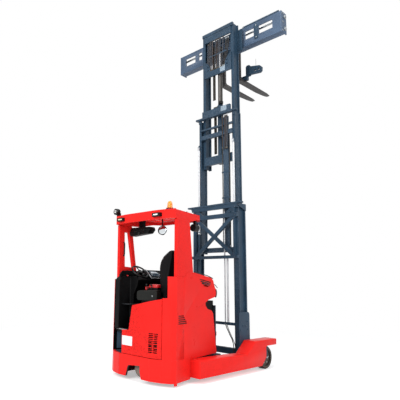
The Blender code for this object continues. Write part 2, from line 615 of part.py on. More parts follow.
def add_reach_carriage(truck):
    """Side plates that carry the mast's foot, with rollers in the legs' channels."""
    truck.body("reach_carriage", "chassis", (0, STAGES["outer"][2], 0.2))
    out, _, rear, front, low, _ = STAGES["outer"]
    start = out + SEAT
    side = [(rear - 0.04, 0.09), (rear - 0.04, 0.80), *arc((rear + 0.01, 0.82), 0.05, 180, 90, 4),
            *arc((front - 0.01, 0.82), 0.05, 90, 0, 4), (front + 0.04, 0.41), (front - 0.005, 0.385),
            (front - 0.005, 0.09)]
    cheek = plate(side, "X", start, start + 0.010)
    rollers = [bar((start + 0.005, y, 0.1725), (LEG_IN + 0.042 - SEAT, y, 0.1725), 0.0500, 24)
               for y in (rear + 0.01, rear + 0.125)]
    half = build(cheek, *rollers)
    foot = block((-start - 0.005, rear - 0.035, 0.10), (start + 0.005, rear + 0.03, low - SEAT))
    truck.node("reach_carriage", build(half, mirrored(half), foot), "steel", "reach_carriage")


def add_reach_cylinder(truck):
    """Reach cylinder along the floor of the truck: barrel on the base, rod on the carriage."""
    y = STAGES["outer"][2] - 0.035
    rear, front = BEAM_REAR[1] + SEAT, BEAM_FRONT[0] - SEAT
    barrel = build(bar((0, rear, REACH_Z), (0, front, REACH_Z), 0.034, 24),
                   cut=[bar((0, rear + 0.003, REACH_Z), (0, front + 0.1, REACH_Z), 0.0265, 20)])
    truck.node("reach_barrel", barrel, "steel")
    rod = build(bar((0, 0.93, REACH_Z), (0, y - SEAT, REACH_Z), 0.016, 16),
                bar((0, 0.925, REACH_Z), (0, 0.935, REACH_Z), 0.0255, 20))
    truck.node("reach_rod", rod, "chrome", "reach_carriage")


def add_outer_mast(truck):
    """Fixed stage: rails, foot beam, tie bar and the two lift barrels."""
    out, inn, rear, front, low, high = STAGES["outer"]
    right = rail("outer")
    beam = block((-inn - 0.01, rear + 0.005, 0.215), (inn + 0.01, rear + 0.065, 0.31))
    tie = block((-inn - 0.01, rear + 0.002, 0.655), (inn + 0.01, rear + 0.012, 0.70))
    barrel = build(bar((ROD_X, ROD_Y, 0.28), (ROD_X, ROD_Y, 2.19), ROD_RADIUS + 0.005, 20),
                   *[block((ROD_X, ROD_Y - 0.012, z), (inn + 0.01, ROD_Y + 0.012, z + 0.03)) for z in (1.05, 2.13)],
                   cut=[bar((ROD_X, ROD_Y, 0.36), (ROD_X, ROD_Y, 2.4), ROD_RADIUS + 0.0012, 20)])
    x, y, radius = HOSE_PIPE
    riser = bar((x, y, 0.68), (x, y, 2.50), radius, 12)
    mast = build(right, mirrored(right), beam, tie, barrel, mirrored(barrel), riser)
    truck.node("outer_mast", mast, "steel", "reach_carriage")


def add_mast_brace(truck):
    """Cross-braced frame on the back of the outer stage."""
    out, inn, rear, front, _, top = STAGES["outer"]
    back, face = rear - 0.045, rear - SEAT
    half = inn + 0.04
    z_low, z_mid, z_top = 1.74, 2.42, 2.60
    bars = [block((-out, back, z_low - 0.03), (out, face, z_low + 0.02)),
            block((-out, back, z_mid - 0.035), (out, face, z_mid + 0.035))]
    head = block((-0.558, back - 0.01, z_top + 0.005), (0.558, face + 0.02, z_top + 0.03))
    drop = block((-out, back, z_top - 0.06), (out, face, z_top + 0.01))
    posts = both_sides(block((half - 0.04, back, z_low), (half, face, z_top)))
    span = Vector((half * 2 - 0.06, 0, z_mid - z_low))
    lean = math.atan2(span.z, span.x)
    arms = []
    for turn in (lean, -lean):
        arm = block((-span.length / 2, back + 0.01, -0.03), (span.length / 2, face, 0.03))
        arm.matrix_world = Matrix.Translation((0, 0, (z_low + z_mid) / 2)) @ Matrix.Rotation(-turn, 4, "Y")
        arms.append(bake(arm))
    gusset = [(half, z_mid + 0.02), (half - 0.22, z_mid + 0.02), (half - 0.10, z_top - 0.05), (half, z_top - 0.05)]
    gussets = both_sides(plate(gusset, "Y", back + 0.01, face))
    wings = both_sides(build(plate([(back, z_top + 0.012), (front, z_top + 0.012), (front, z_top - 0.10),
                                    (back, z_top - 0.02)], "X", out + SEAT, out + 0.012)))
    frame = build(head, drop, *bars, *posts, *arms, *gussets, *wings)
    seat = block((-out - SEAT, face, 0.0), (out + SEAT, front + 0.5, z_top + SEAT))
    x, y, radius = HOSE_PIPE
    clips = [block((x - 0.015, face - 0.01, z - 0.012), (x + 0.015, y - radius - SEAT, z + 0.012))
             for z in (z_low, z_mid)]
    truck.node("mast_brace", build(build(frame, cut=[seat]), *clips), "steel", "reach_carriage")


def add_middle_mast(truck):
    """Second stage: rails, head, ties, and the lift rods that push it."""
    out, inn, rear, front, low, high = STAGES["middle"]
    truck.body("middle_mast", "reach_carriage", (0, rear, low))
    right = build(rail("middle"), pad("middle", "outer", low + 0.08), pad("middle", "outer", low + 0.60))
    back, face = rear - 0.03, rear + 0.015
    inside = 0.340
    ties = ((low + 0.05, 0.08), (4.05, 0.03), (3.905, 0.075))
    beams = [block((-inside, back, z - tall / 2), (inside, face, z + tall / 2)) for z, tall in ties]
    links = [block((-inn - 0.01, rear + 0.003, z - tall / 2), (inn + 0.01, face, z + tall / 2)) for z, tall in ties]
    head = block((-0.30, back, high - 0.005), (0.30, face, high + 0.15))
    cap = block((-0.435, back - 0.02, high), (0.435, face + 0.01, high + 0.03))
    corner = block((out - 0.04, back + 0.01, high - 0.06), (out - 0.003, face, high + 0.005))
    guard = block((0.13, face - 0.005, low + 0.05), (0.24, face + 0.013, 4.20))
    rod = bar((ROD_X, ROD_Y, 1.93), (ROD_X, ROD_Y, 3.74), ROD_RADIUS, 20)
    eye = block((ROD_X - 0.018, ROD_Y - 0.013, 3.68), (ROD_X + 0.018, rear + 0.01, 3.75))
    knob = bar((ROD_X, ROD_Y, 3.745), (ROD_X, ROD_Y, 3.775), 0.011, 12)
    stage = build(right, mirrored(right), *beams, *links, head, cap, guard, *both_sides(corner), *both_sides(eye))
    stage = build(stage, *both_sides(rod), *both_sides(knob))
    truck.node("middle_mast", stage, "steel", "middle_mast")


def add_inner_mast(truck):
    """Third stage: rails, head, holed lower head, foot box and free-lift barrel."""
    out, inn, rear, front, low, high = STAGES["inner"]
    truck.body("inner_mast", "middle_mast", (0, rear, low))
    right = build(rail("inner"), pad("inner", "middle", low + 0.10), pad("inner", "middle", low + 0.65))
    back = rear - 0.022
    head = block((-out, back, high - 0.06), (out, rear + 0.02, high))
    fascia = block((-inn - 0.01, back + 0.004, high - 0.19), (inn + 0.01, rear + 0.012, high - 0.065))
    under, top = LOWER_BEAM
    half = [(0.165, top), (0.17, top + 0.06), (0.195, top + 0.125), (0.235, top + 0.18), (inn + 0.01, top + 0.23),
            (inn + 0.01, under)]
    holes = [bar((side * 0.212, back - 0.1, z), (side * 0.212, rear + 0.1, z), 0.014, 12)
             for z in (top + 0.025, top + 0.095) for side in (-1, 1)]
    lower = build(plate(half + [(-x, z) for x, z in reversed(half)], "Y", back, rear + 0.008), cut=holes)
    foot = block((-inn - 0.01, back, low + 0.05), (inn + 0.01, rear + 0.03, low + 0.20))
    floor = block((-0.06, rear + 0.01, low + 0.06), (0.06, rear + 0.12, low + 0.19))
    stage = build(right, mirrored(right), head, fascia, lower, foot, floor)
    barrel = bar((0, rear + 0.065, low + 0.065), (0, rear + 0.065, FREE_BARREL_TOP), FREE_ROD + 0.01, 20)
    bore = bar((0, rear + 0.065, low + 0.075), (0, rear + 0.065, FREE_BARREL_TOP + 0.3), FREE_ROD + SEAT, 20)
    truck.node("inner_mast", build(stage, barrel, cut=[bore]), "steel", "inner_mast")


def add_free_lift(truck):
    """Free-lift rod with its cross-head, the chain wheel and the chain's rear run."""
    rear, low = STAGES["inner"][2], STAGES["inner"][4]
    y = rear + 0.065
    truck.body("free_lift", "inner_mast", (0, y, FREE_BARREL_TOP + 0.1))
    foot, top = CROSS_HEAD
    rod = bar((0, y, FREE_BARREL_TOP - 0.05), (0, y, foot + 0.02), FREE_ROD, 20)
    head = block((-0.14, y - 0.028, foot), (0.06, y + 0.028, top))
    half = CHAIN_WIDE / 2
    wheel = bar((CHAIN_X + half + 0.003, y, top), (CHAIN_X - half - 0.003, y, top), CHAIN_WHEEL, 24)
    chain = block((CHAIN_X - half, y - CHAIN_WHEEL - 0.004, FREE_BARREL_TOP + 0.12),
                  (CHAIN_X + half, y - CHAIN_WHEEL + 0.004, top))
    truck.node("free_lift_rod", build(rod, head, wheel, chain), "grey", "free_lift")


def add_lift_carriage(truck):
    """Carriage that climbs the inner stage and carries the fork frame's pivot."""
    out, inn, rear, front = STAGES["inner"][:4]
    truck.body("lift_carriage", "inner_mast", (0, front, 5.7))
    low, high = CARRIAGE_LOW, CARRIAGE_HIGH
    shoes = [block((inn - 0.02, front - FLANGE, z), (inn - SEAT, front - 0.002, z + 0.08))
             for z in (low + 0.02, high - 0.10)]
    side = build(block((inn - 0.045, rear + 0.05, low), (inn - GLIDE, front + 0.03, high)), *shoes)
    face = build(block((-0.40, front + 0.008, low + 0.02), (0.40, front + 0.036, high - 0.02)),
                 cut=[block((-0.20, front - 0.1, low + 0.12), (0.20, front + 0.1, high - 0.12))])
    shaft = bar((-0.36, TILT_Y, TILT_Z), (0.36, TILT_Y, TILT_Z), 0.016, 20)
    ear = block((0.30, front + 0.02, TILT_Z - 0.025), (0.36, TILT_Y + 0.018, TILT_Z + 0.025))
    chain_y = rear + 0.065 + CHAIN_WHEEL
    half = CHAIN_WIDE / 2
    anchor = block((CHAIN_X - half - 0.003, chain_y, low + 0.02), (CHAIN_X + half + 0.003, front + 0.01, low + 0.06))
    chain = block((CHAIN_X - half, chain_y - 0.004, low + 0.02), (CHAIN_X + half, chain_y + 0.004, low + 0.115))
    carriage = build(side, mirrored(side), face, *both_sides(ear), anchor, chain, shaft)
    truck.node("lift_carriage", carriage, "steel", "lift_carriage")


def add_fork_frame(truck):
    """Wide frame with slotted beams, end plates and the guide rods of the forks."""
    truck.body("fork_frame", "lift_carriage", (0, TILT_Y, TILT_Z))
    face, lip, thick = FRAME_REAR + 0.02, 0.06, 0.015
    section = [(FRAME_REAR, FRAME_LOW), (FRAME_REAR + 0.135, FRAME_LOW), (FRAME_REAR + 0.135, FRAME_LOW + thick),
               (face, FRAME_LOW + thick), (face, FRAME_HIGH - thick), (FRAME_REAR + lip, FRAME_HIGH - thick),
               (FRAME_REAR + lip, FRAME_HIGH), (FRAME_REAR, FRAME_HIGH)]
    windows = [block((start, FRAME_REAR - 0.1, WINDOW_LOW), (end, FRAME_REAR + 0.1, WINDOW_HIGH))
               for start, end in FRAME_WINDOWS]
    beam = build(plate(section, "X", -FRAME_HALF, FRAME_HALF), cut=windows)
    ends = both_sides(block((FRAME_HALF - 0.018, FRAME_REAR - 0.002, FRAME_LOW - 0.003),
                            (FRAME_HALF + 0.002, FRAME_FRONT, FRAME_HIGH + 0.003)))
    guides = [bar((-FRAME_HALF - 0.03, GUIDE_Y, z), (FRAME_HALF + 0.03, GUIDE_Y, z), GUIDE_RADIUS, 16)
              for z in GUIDE_HEIGHTS]
    lugs = []
    for place in (0.09, 0.24):
        lug = block((place, TILT_Y - 0.021, TILT_Z - 0.035), (place + 0.04, FRAME_REAR + 0.01, TILT_Z + 0.03))
        lugs += both_sides(lug)
    eye = bar((-0.5, TILT_Y, TILT_Z), (0.5, TILT_Y, TILT_Z), 0.0165, 20)
    frame = build(beam, *ends, *guides, *lugs, cut=[eye])
    truck.node("fork_frame", frame, "steel", "fork_frame")
    y, z = FRAME_REAR + 0.035, FRAME_HIGH + 0.030
    feet = [block((x, y - 0.02, FRAME_HIGH + SEAT), (x + 0.03, y + 0.02, z)) for x in (0.40, 1.02)]
    barrel = build(bar((0.38, y, z), (1.08, y, z), 0.024, 20), *feet)
    truck.node("positioner_cylinder", barrel, "steel", "fork_frame")


def fork_bracket():
    """Saddle, upright and holed box beside the right fork, with X = 0 on the fork's middle."""
    rear, front = FORK_HEEL + 0.11, FORK_HEEL + 0.16
    saddle = block((-0.03, rear, BLADE_TOP - 0.01), (0.11, front, BLADE_TOP + 0.08))
    upright = [(0.07, BLADE_TOP + 0.06), (0.165, BLADE_TOP + 0.06), (0.165, BLADE_TOP + 0.25),
               (0.145, BLADE_TOP + 0.28), (0.09, BLADE_TOP + 0.28), (0.07, BLADE_TOP + 0.25)]
    box = [(0.16, BLADE_TOP + 0.075), (0.38, BLADE_TOP + 0.045), (0.41, BLADE_TOP + 0.07), (0.415, BLADE_TOP + 0.14),
           (0.38, BLADE_TOP + 0.18), (0.16, BLADE_TOP + 0.235)]
    holes = [bar((x, rear - 0.1, BLADE_TOP + 0.115), (x, front + 0.1, BLADE_TOP + 0.115), 0.024, 16)
             for x in (0.28, 0.35)]
    box = build(plate(box, "Y", rear - 0.01, front - 0.01), cut=holes)
    return [saddle, plate(upright, "Y", rear + 0.01, front - 0.005), box]


def add_forks(truck):
    """Forks hung on the guide rods, each with its carrier block; the right one bears a side bracket."""
    low = BLADE_TOP - BLADE_THICK
    shank_top = FRAME_HIGH - 0.03
    side = [(FORK_HEEL - 0.045, shank_top), (FORK_HEEL, shank_top), (FORK_HEEL, BLADE_TOP + 0.03),
            (FORK_HEEL + 0.02, BLADE_TOP), (FORK_TIP, BLADE_TOP), (FORK_TIP, BLADE_TOP - 0.012),
            (FORK_TIP - 0.40, low + 0.006), (FORK_HEEL - 0.02, low), (FORK_HEEL - 0.045, low + 0.03)]
    half = FORK_WIDE / 2
    plan = [(-half, 2.0), (half, 2.0), (half, FORK_TIP - 0.12), (half * 0.6, FORK_TIP + 0.01),
            (-half * 0.6, FORK_TIP + 0.01), (-half, FORK_TIP - 0.12)]
    for name, x in FORK_PLACES.items():
        truck.body(name, "fork_frame", (x, FORK_HEEL, BLADE_TOP))
        shape = intersect(plate(side, "X", -half, half), plate(plan, "Z", 4.0, 7.0))
        bracket = fork_bracket() if name == "fork_right" else []
        blade = build(shape, block((-0.09, GUIDE_Y - 0.045, 5.60), (0.09, GUIDE_Y + 0.036, 5.92)), *bracket,
                      cut=[bar((-0.2, GUIDE_Y, z), (0.2, GUIDE_Y, z), GUIDE_RADIUS + SEAT, 16)
                           for z in GUIDE_HEIGHTS])
        blade.data.transform(Matrix.Translation((x, 0, 0)))
        truck.node(name, blade, "steel", name)


def main():
    truck = Truck()
    for add in (add_base, add_skirt, add_covers, add_door, add_floor, add_power, add_guard, add_cab,
                add_fittings, add_legs, add_load_wheels, add_drive, add_reach_carriage, add_reach_cylinder,
                add_outer_mast, add_mast_brace, add_middle_mast, add_inner_mast, add_free_lift,
                add_lift_carriage, add_fork_frame, add_forks):
        add(truck)


main()
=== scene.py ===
"""Looks of a four-way reach truck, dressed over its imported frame.

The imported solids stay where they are. Painted shells get rounded copies, and the small
pieces that the solids leave out, such as chains, hoses, lamps, pads and bolts, are made
here as surfaces worked out with numpy. Lengths are metres in the truck's own frame: +Y is the
way the forks point, +X the truck's right, +Z up, the floor is Z = 0 and Y = 0 is the corner
where the rear bow begins. Pieces move by Y_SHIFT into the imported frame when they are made.
"""
from __future__ import annotations

import json
import logging
import math
from dataclasses import dataclass, field
from enum import Enum
from typing import Callable, Iterable

import bmesh
import bpy
import numpy as np
from mathutils import Matrix, Vector

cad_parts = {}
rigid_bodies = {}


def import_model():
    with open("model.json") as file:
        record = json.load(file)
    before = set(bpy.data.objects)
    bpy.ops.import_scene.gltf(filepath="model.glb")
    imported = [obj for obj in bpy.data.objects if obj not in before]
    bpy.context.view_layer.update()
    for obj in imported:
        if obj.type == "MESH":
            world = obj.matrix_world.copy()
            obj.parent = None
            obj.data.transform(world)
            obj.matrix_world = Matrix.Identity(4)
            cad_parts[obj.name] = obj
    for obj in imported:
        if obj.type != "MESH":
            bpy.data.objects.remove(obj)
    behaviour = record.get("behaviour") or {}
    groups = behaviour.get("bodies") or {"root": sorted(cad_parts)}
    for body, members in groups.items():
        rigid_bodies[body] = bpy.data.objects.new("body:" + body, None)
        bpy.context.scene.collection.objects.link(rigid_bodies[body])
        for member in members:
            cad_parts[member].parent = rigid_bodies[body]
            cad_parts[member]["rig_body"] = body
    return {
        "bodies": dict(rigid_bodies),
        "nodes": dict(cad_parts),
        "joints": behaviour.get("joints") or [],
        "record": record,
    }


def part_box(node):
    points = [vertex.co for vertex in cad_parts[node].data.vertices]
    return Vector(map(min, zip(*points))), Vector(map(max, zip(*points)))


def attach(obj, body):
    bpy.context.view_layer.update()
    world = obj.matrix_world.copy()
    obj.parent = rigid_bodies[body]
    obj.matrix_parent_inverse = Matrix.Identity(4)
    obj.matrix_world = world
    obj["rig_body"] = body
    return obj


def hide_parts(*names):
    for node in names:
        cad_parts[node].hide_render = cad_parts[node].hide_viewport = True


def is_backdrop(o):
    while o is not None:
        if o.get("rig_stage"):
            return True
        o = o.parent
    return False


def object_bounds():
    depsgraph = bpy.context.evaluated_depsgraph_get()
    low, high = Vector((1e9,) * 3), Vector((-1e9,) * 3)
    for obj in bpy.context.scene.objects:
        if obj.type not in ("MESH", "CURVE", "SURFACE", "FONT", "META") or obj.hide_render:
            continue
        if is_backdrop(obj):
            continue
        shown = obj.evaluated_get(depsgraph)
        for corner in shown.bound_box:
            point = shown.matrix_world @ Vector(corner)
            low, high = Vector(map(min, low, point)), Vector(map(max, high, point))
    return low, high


LOG = logging.getLogger("reach_truck")
Point = tuple[float, float, float]
Y_SHIFT = -1.565  # the body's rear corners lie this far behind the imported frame's origin
# The same step as a vector, for whole arrays of points
TO_PACKED = np.array([0.0, Y_SHIFT, 0.0])


def linear(code: str) -> tuple[float, float, float, float]:
    """Turns an sRGB hex colour into linear red, green, blue and alpha.

    Args:
        code: six hex digits, with or without a leading hash.

    Returns:
        Four linear values, the last one 1.
    """
    digits = code.lstrip("#")
    shown = np.array([int(digits[i:i + 2], 16) for i in (0, 2, 4)]) / 255.0
    light = np.where(shown <= 0.04045, shown / 12.92, ((shown + 0.055) / 1.055) ** 2.4)
    return (float(light[0]), float(light[1]), float(light[2]), 1.0)


def add_node(tree: bpy.types.NodeTree, kind: str, settings: dict | None = None,
        inputs: dict | None = None) -> bpy.types.Node:
    """Adds a node with its settings, socket values and links.

    Args:
        tree: the node tree to add to.
        kind: the node's type name.
        settings: properties of the node by name.
        inputs: values, or output sockets to link from, by socket name or number.

    Returns:
        The new node.
    """
    node = tree.nodes.new(kind)
    for name, value in (settings or {}).items():
        setattr(node, name, value)
    for key, value in (inputs or {}).items():
        socket = node.inputs[key]
        if isinstance(value, bpy.types.NodeSocket):
            tree.links.new(value, socket)
        else:
            socket.default_value = value
    return node


class Body(Enum):
    """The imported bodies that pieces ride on."""

    CHASSIS = "chassis"
    DOOR = "service_door"
    DRIVE = "drive_unit"
    DRIVE_WHEEL = "drive_wheel"
    RIGHT_YOKE = "right_yoke"
    LEFT_YOKE = "left_yoke"
    RIGHT_WHEEL = "right_load_wheel"
    LEFT_WHEEL = "left_load_wheel"
    REACH = "reach_carriage"
    MIDDLE = "middle_mast"
    INNER = "inner_mast"
    FREE_LIFT = "free_lift"
    CARRIAGE = "lift_carriage"
    FORK_FRAME = "fork_frame"
    FORK_RIGHT = "fork_right"
    FORK_LEFT = "fork_left"


@dataclass(frozen=True)
class Finish:
    """One real material and how its surface was made.

    Two noises vary the colour and the roughness over the piece, a third one, finer, is its
    bump, and an edge wear mask mixes in what lies under the surface at worn corners.
    """

    name: str
    colour: str
    rough: float = 0.4
    metallic: float = 0.0
    patches: tuple[float, float] = (0.06, 350.0)    # share of lighter and darker patches, and their size in mm
    rough_vary: float = 0.06
    grain: tuple[float, float] = (1.5, 0.05)        # size and depth of the bump's grain in mm
    wear: tuple[str, float] | None = None           # colour that shows at worn edges, and its share
    specular: float = 0.5
    coat: float = 0.0
    sheen: float = 0.0
    glow: float = 0.0

    def make(self) -> bpy.types.Material:
        """Builds the material, or returns it if it is there already."""
        found = bpy.data.materials.get(self.name)
        if found is not None:
            return found
        material = bpy.data.materials.new(self.name)
        material.use_nodes = True
        tree = material.node_tree
        shader = tree.nodes["Principled BSDF"]
        shader.inputs["Metallic"].default_value = self.metallic
        shader.inputs["Specular IOR Level"].default_value = self.specular
        shader.inputs["Coat Weight"].default_value = self.coat
        shader.inputs["Coat Roughness"].default_value = 0.08
        shader.inputs["Sheen Weight"].default_value = self.sheen
        where = add_node(tree, "ShaderNodeTexCoord").outputs["Object"]
        vary, size = self.patches
        patches = add_node(tree, "ShaderNodeTexNoise", {}, {"Vector": where, "Scale": 1000.0 / size,
                "Detail": 3.0, "Roughness": 0.55})
        colour = linear(self.colour)
        dark = tuple(c * (1.0 - vary) for c in colour[:3]) + (1.0,)
        light = tuple(min(1.0, c * (1.0 + vary)) for c in colour[:3]) + (1.0,)
        spread = add_node(tree, "ShaderNodeMapRange", {}, {"Value": patches.outputs["Fac"], "From Min": 0.3,
                "From Max": 0.7})
        mixed = add_node(tree, "ShaderNodeMix", {"data_type": "RGBA"}, {"Factor": spread.outputs["Result"],
                "A": dark, "B": light})
        result = mixed.outputs["Result"]
        if self.wear:
            result = self.worn(tree, where, result)
        tree.links.new(result, shader.inputs["Base Color"])
        rough = add_node(tree, "ShaderNodeMapRange", {}, {"Value": patches.outputs["Fac"], "From Min": 0.3,
                "From Max": 0.7, "To Min": max(0.02, self.rough - self.rough_vary), "To Max": min(1.0,
                self.rough + self.rough_vary)})
        tree.links.new(rough.outputs["Result"], shader.inputs["Roughness"])
        grain = add_node(tree, "ShaderNodeTexNoise", {}, {"Vector": where, "Scale": 1000.0 / self.grain[0],
                "Detail": 2.0})
        bump = add_node(tree, "ShaderNodeBump", {}, {"Strength": 0.6, "Distance": self.grain[1] / 1000.0,
                "Height": grain.outputs["Fac"]})
        tree.links.new(bump.outputs["Normal"], shader.inputs["Normal"])
        if self.glow:
            shader.inputs["Emission Color"].default_value = colour
            shader.inputs["Emission Strength"].default_value = self.glow
        material.diffuse_color = colour
        return material

    def worn(self, tree: bpy.types.NodeTree, where: bpy.types.NodeSocket,
            under: bpy.types.NodeSocket) -> bpy.types.NodeSocket:
        """Mixes the worn colour in where the surface is sharply convex and a noise allows it."""
        colour, share_most = self.wear
        edge = add_node(tree, "ShaderNodeNewGeometry").outputs["Pointiness"]
        sharp = add_node(tree, "ShaderNodeMapRange", {}, {"Value": edge, "From Min": 0.53, "From Max": 0.62})
        scuffs = add_node(tree, "ShaderNodeTexNoise", {}, {"Vector": where, "Scale": 55.0, "Detail": 5.0})
        patch = add_node(tree, "ShaderNodeMapRange", {}, {"Value": scuffs.outputs["Fac"], "From Min": 0.45,
                "From Max": 0.7, "To Max": share_most})
        share = add_node(tree, "ShaderNodeMath", {"operation": "MULTIPLY"}, {0: sharp.outputs["Result"],
                1: patch.outputs["Result"]})
        return add_node(tree, "ShaderNodeMix", {"data_type": "RGBA"}, {"Factor": share.outputs["Value"], "A": under,
                "B": linear(colour)}).outputs["Result"]


# Two-coat polyester powder paint on sheet steel: an even bright red, a soft gloss with slight orange peel
RED_PAINT = Finish("red_powder_coated_steel", "#EB2824", 0.33, patches=(0.05, 350), grain=(2.5, 0.03),
        wear=("#7C120F", 0.5), specular=0.06)
# Solvent enamel sprayed on rolled mast sections: dark blue-grey, half gloss, scuffed to primer at corners
MAST_PAINT = Finish("blue_grey_enamelled_steel", "#263D50", 0.42, patches=(0.18, 260), grain=(1.2, 0.08),
        wear=("#6E7A88", 0.6), specular=0.28)
# The same enamel on cut plate low on the truck, dulled by road dust
DUSTY_PAINT = Finish("dusty_enamelled_plate", "#2C3540", 0.6, patches=(0.2, 180), grain=(1.6, 0.12),
        wear=("#70757A", 0.5), specular=0.3)
# Injection moulded ABS with a fine leather grain: near black, matt, lighter where hands rub it
BLACK_ABS = Finish("grained_black_abs", "#060607", 0.5, patches=(0.3, 90), grain=(1.8, 0.25),
        specular=0.12)
# Smooth moulded nylon for levers, bezels and lamp bodies
BLACK_NYLON = Finish("moulded_black_nylon", "#060607", 0.34, patches=(0.2, 60), grain=(0.8, 0.05), specular=0.25)
# Press-moulded solid rubber tyre: black-grey, dusty, with fine mould grain
TYRE_RUBBER = Finish("pressed_solid_rubber", "#141415", 0.78, patches=(0.35, 70), grain=(2.0, 0.3), specular=0.3)
# Cast polyurethane tread: pale beige, slightly waxy, greyed by the floor
CAST_TREAD = Finish("cast_polyurethane_tread", "#8C8075", 0.55, patches=(0.2, 60), grain=(2.2, 0.2))
# Turned and ground steel rod with hard chrome
HARD_CHROME = Finish("hard_chromed_rod", "#B9BDC0", 0.22, 1.0, patches=(0.04, 120), rough_vary=0.05,
        grain=(0.6, 0.01))
# Pale grey enamel on the lift rods' sleeves, satin
ROD_ENAMEL = Finish("pale_grey_satin_rod", "#D2D5D8", 0.38, 0.0, patches=(0.08, 200), grain=(1.0, 0.03))
# Forged fork steel, black oxide and scale, bright on the rubbed top edge
FORGED_STEEL = Finish("forged_black_scale", "#3C3A3A", 0.5, 0.55, patches=(0.22, 110), grain=(3.0, 0.2),
        wear=("#8D8985", 0.8))
# Zinc plated bolts and fittings, dull silver
ZINC = Finish("zinc_plated_fastener", "#9EA3A6", 0.35, 0.9, patches=(0.12, 15), grain=(0.5, 0.02))
# Oiled leaf chain, dark steel with grease in the joints
CHAIN_STEEL = Finish("greased_leaf_chain", "#4A4641", 0.38, 0.75, patches=(0.3, 25), grain=(1.0, 0.1))
# Braided hydraulic hose under a black rubber cover
HOSE_RUBBER = Finish("rubber_covered_hose", "#1F1D1C", 0.5, patches=(0.25, 60), grain=(1.2, 0.15))
# Vinyl over foam on the seat and hood: black with a soft sheen
SEAT_VINYL = Finish("embossed_black_vinyl", "#09090B", 0.48, patches=(0.2, 120), grain=(2.2, 0.35), specular=0.1,
        sheen=0.02)
# Amber polycarbonate dome
AMBER_LENS = Finish("amber_polycarbonate_dome", "#F58A12", 0.12, patches=(0.1, 30), grain=(3.0, 0.05), coat=0.6,
        glow=0.25)
# Frosted clear lamp lens
CLEAR_LENS = Finish("frosted_lamp_lens", "#F1F1EC", 0.25, patches=(0.05, 15), grain=(2.0, 0.15),
        coat=0.4, glow=0.15)
# Blank adhesive plate, satin white vinyl
WHITE_PLATE = Finish("blank_white_vinyl_plate", "#E9EAEA", 0.42, patches=(0.03, 60), grain=(1.0, 0.02))
# Red moulded plastic of knobs and of the stop button
RED_KNOB = Finish("moulded_red_plastic", "#C91A1E", 0.3, patches=(0.08, 30), grain=(0.9, 0.03),
        coat=0.3)
# Display glass, dark with a bluish tint
SCREEN_GLASS = Finish("dark_display_glass", "#2B3B48", 0.08, patches=(0.12, 60), grain=(5.0, 0.01), coat=0.8)
# Silvered convex mirror
MIRROR_GLASS = Finish("silvered_convex_mirror", "#DDE3E6", 0.04, 1.0, patches=(0.01, 80), rough_vary=0.01,
        grain=(9.0, 0.005))
# Ribbed rubber mat on the step and floor
STEP_MAT = Finish("ribbed_rubber_mat", "#22262B", 0.7, patches=(0.25, 60), grain=(3.5, 0.4))


# Near black as painted shade: the mesh behind the vents and the walls of the cut slots
VENT_SHADE_BLACK = Finish("vent_mesh_painted_shade", "#0B0B0C", 0.7, patches=(0.3, 12), grain=(2.5, 0.4))
# Dark teal enamel on the step's riser, scuffed by boots
STEP_PAINT = Finish("scuffed_teal_enamel", "#4C6880", 0.55, patches=(0.25, 90), grain=(1.5, 0.12), wear=("#5F6B72",
        0.6))
# Extruded and brushed nosing on the floor's edge: a soft pale streak
BRUSHED_ALUMINIUM = Finish("brushed_aluminium_nosing", "#9CA1A2", 0.4, 0.8, patches=(0.12, 40), grain=(0.7, 0.05))
# Darker red lines at the skirt's bends: painted shade along the creases
SKIRT_CREASE_SHADE = Finish("skirt_bend_painted_shade", "#B01614", 0.5, patches=(0.15, 30), grain=(1.0, 0.08))
# Pale grey moulded frames round the display and along the console
PALE_BEZEL = Finish("pale_grey_moulded_abs", "#A9ADB0", 0.42, patches=(0.08, 50), grain=(1.2, 0.06))
# Display showing a plain pale field, lit from behind
LIT_SCREEN = Finish("pale_lit_display", "#C9D3D8", 0.15, patches=(0.06, 40), grain=(3.0, 0.01),
        coat=0.5, glow=0.2)
# Cast wheel rims under dusty primer, yellowish brown
RIM_PAINT = Finish("dusty_cast_rim", "#3A3026", 0.6, 0.1, patches=(0.25, 40), grain=(1.6, 0.2))
# Free-lift ram: ground steel under an oil film, warm grey with a bright streak
OILED_RAM = Finish("oiled_ground_ram", "#565350", 0.32, 0.5, patches=(0.12, 150), grain=(0.8, 0.02))
# Dark sleeves of woven polyester that bundle the hoses
HOSE_SLEEVE = Finish("woven_hose_sleeve", "#262A33", 0.75, patches=(0.3, 20), grain=(2.2, 0.5),
        sheen=0.3)
# Bare light steel pads welded to the mast's ties
PALE_STEEL = Finish("pale_primed_steel_pad", "#8FA0AD", 0.45, patches=(0.12, 50), grain=(1.2, 0.05))
# Satin rubber skin of the release grip: very dark red
GRIP_RUBBER = Finish("dark_red_grip_rubber", "#3A0D10", 0.45, patches=(0.2, 30), grain=(1.4, 0.15))
# Worn vinyl on the armrest: black gone greenish grey where sleeves rub it
ARM_VINYL = Finish("rubbed_armrest_vinyl", "#141613", 0.5, patches=(0.35, 45), grain=(2.0, 0.3),
        specular=0.2, sheen=0.03)
# Red darkened as painted shade for the inside of the wheel arch
ARCH_SHADE_RED = Finish("arch_red_painted_shade", "#4A0E0C", 0.7, patches=(0.3, 60), grain=(2.4, 0.3), specular=0.2)
# The mast's enamel on the fork frame, made paler as painted light: the light and reflection that the frame's upper part
# catches
LIGHTENED_FRAME_PAINT = Finish("blue_grey_enamel_painted_lighter", "#42566E", 0.42, patches=(0.22, 300), grain=(1.2, 0.08),
        wear=("#8A94A6", 0.7), specular=0.35)
# Old textile sleeves of the mast's hoses, gone brown
BROWN_SLEEVE = Finish("browned_hose_sleeve", "#3B312E", 0.8, patches=(0.35, 25), grain=(2.4, 0.5), specular=0.2,
        sheen=0.2)
# Smoked lamp glass
SMOKED_LENS = Finish("smoked_lamp_glass", "#15161A", 0.15, patches=(0.1, 20), grain=(2.0, 0.03),
        coat=0.3)
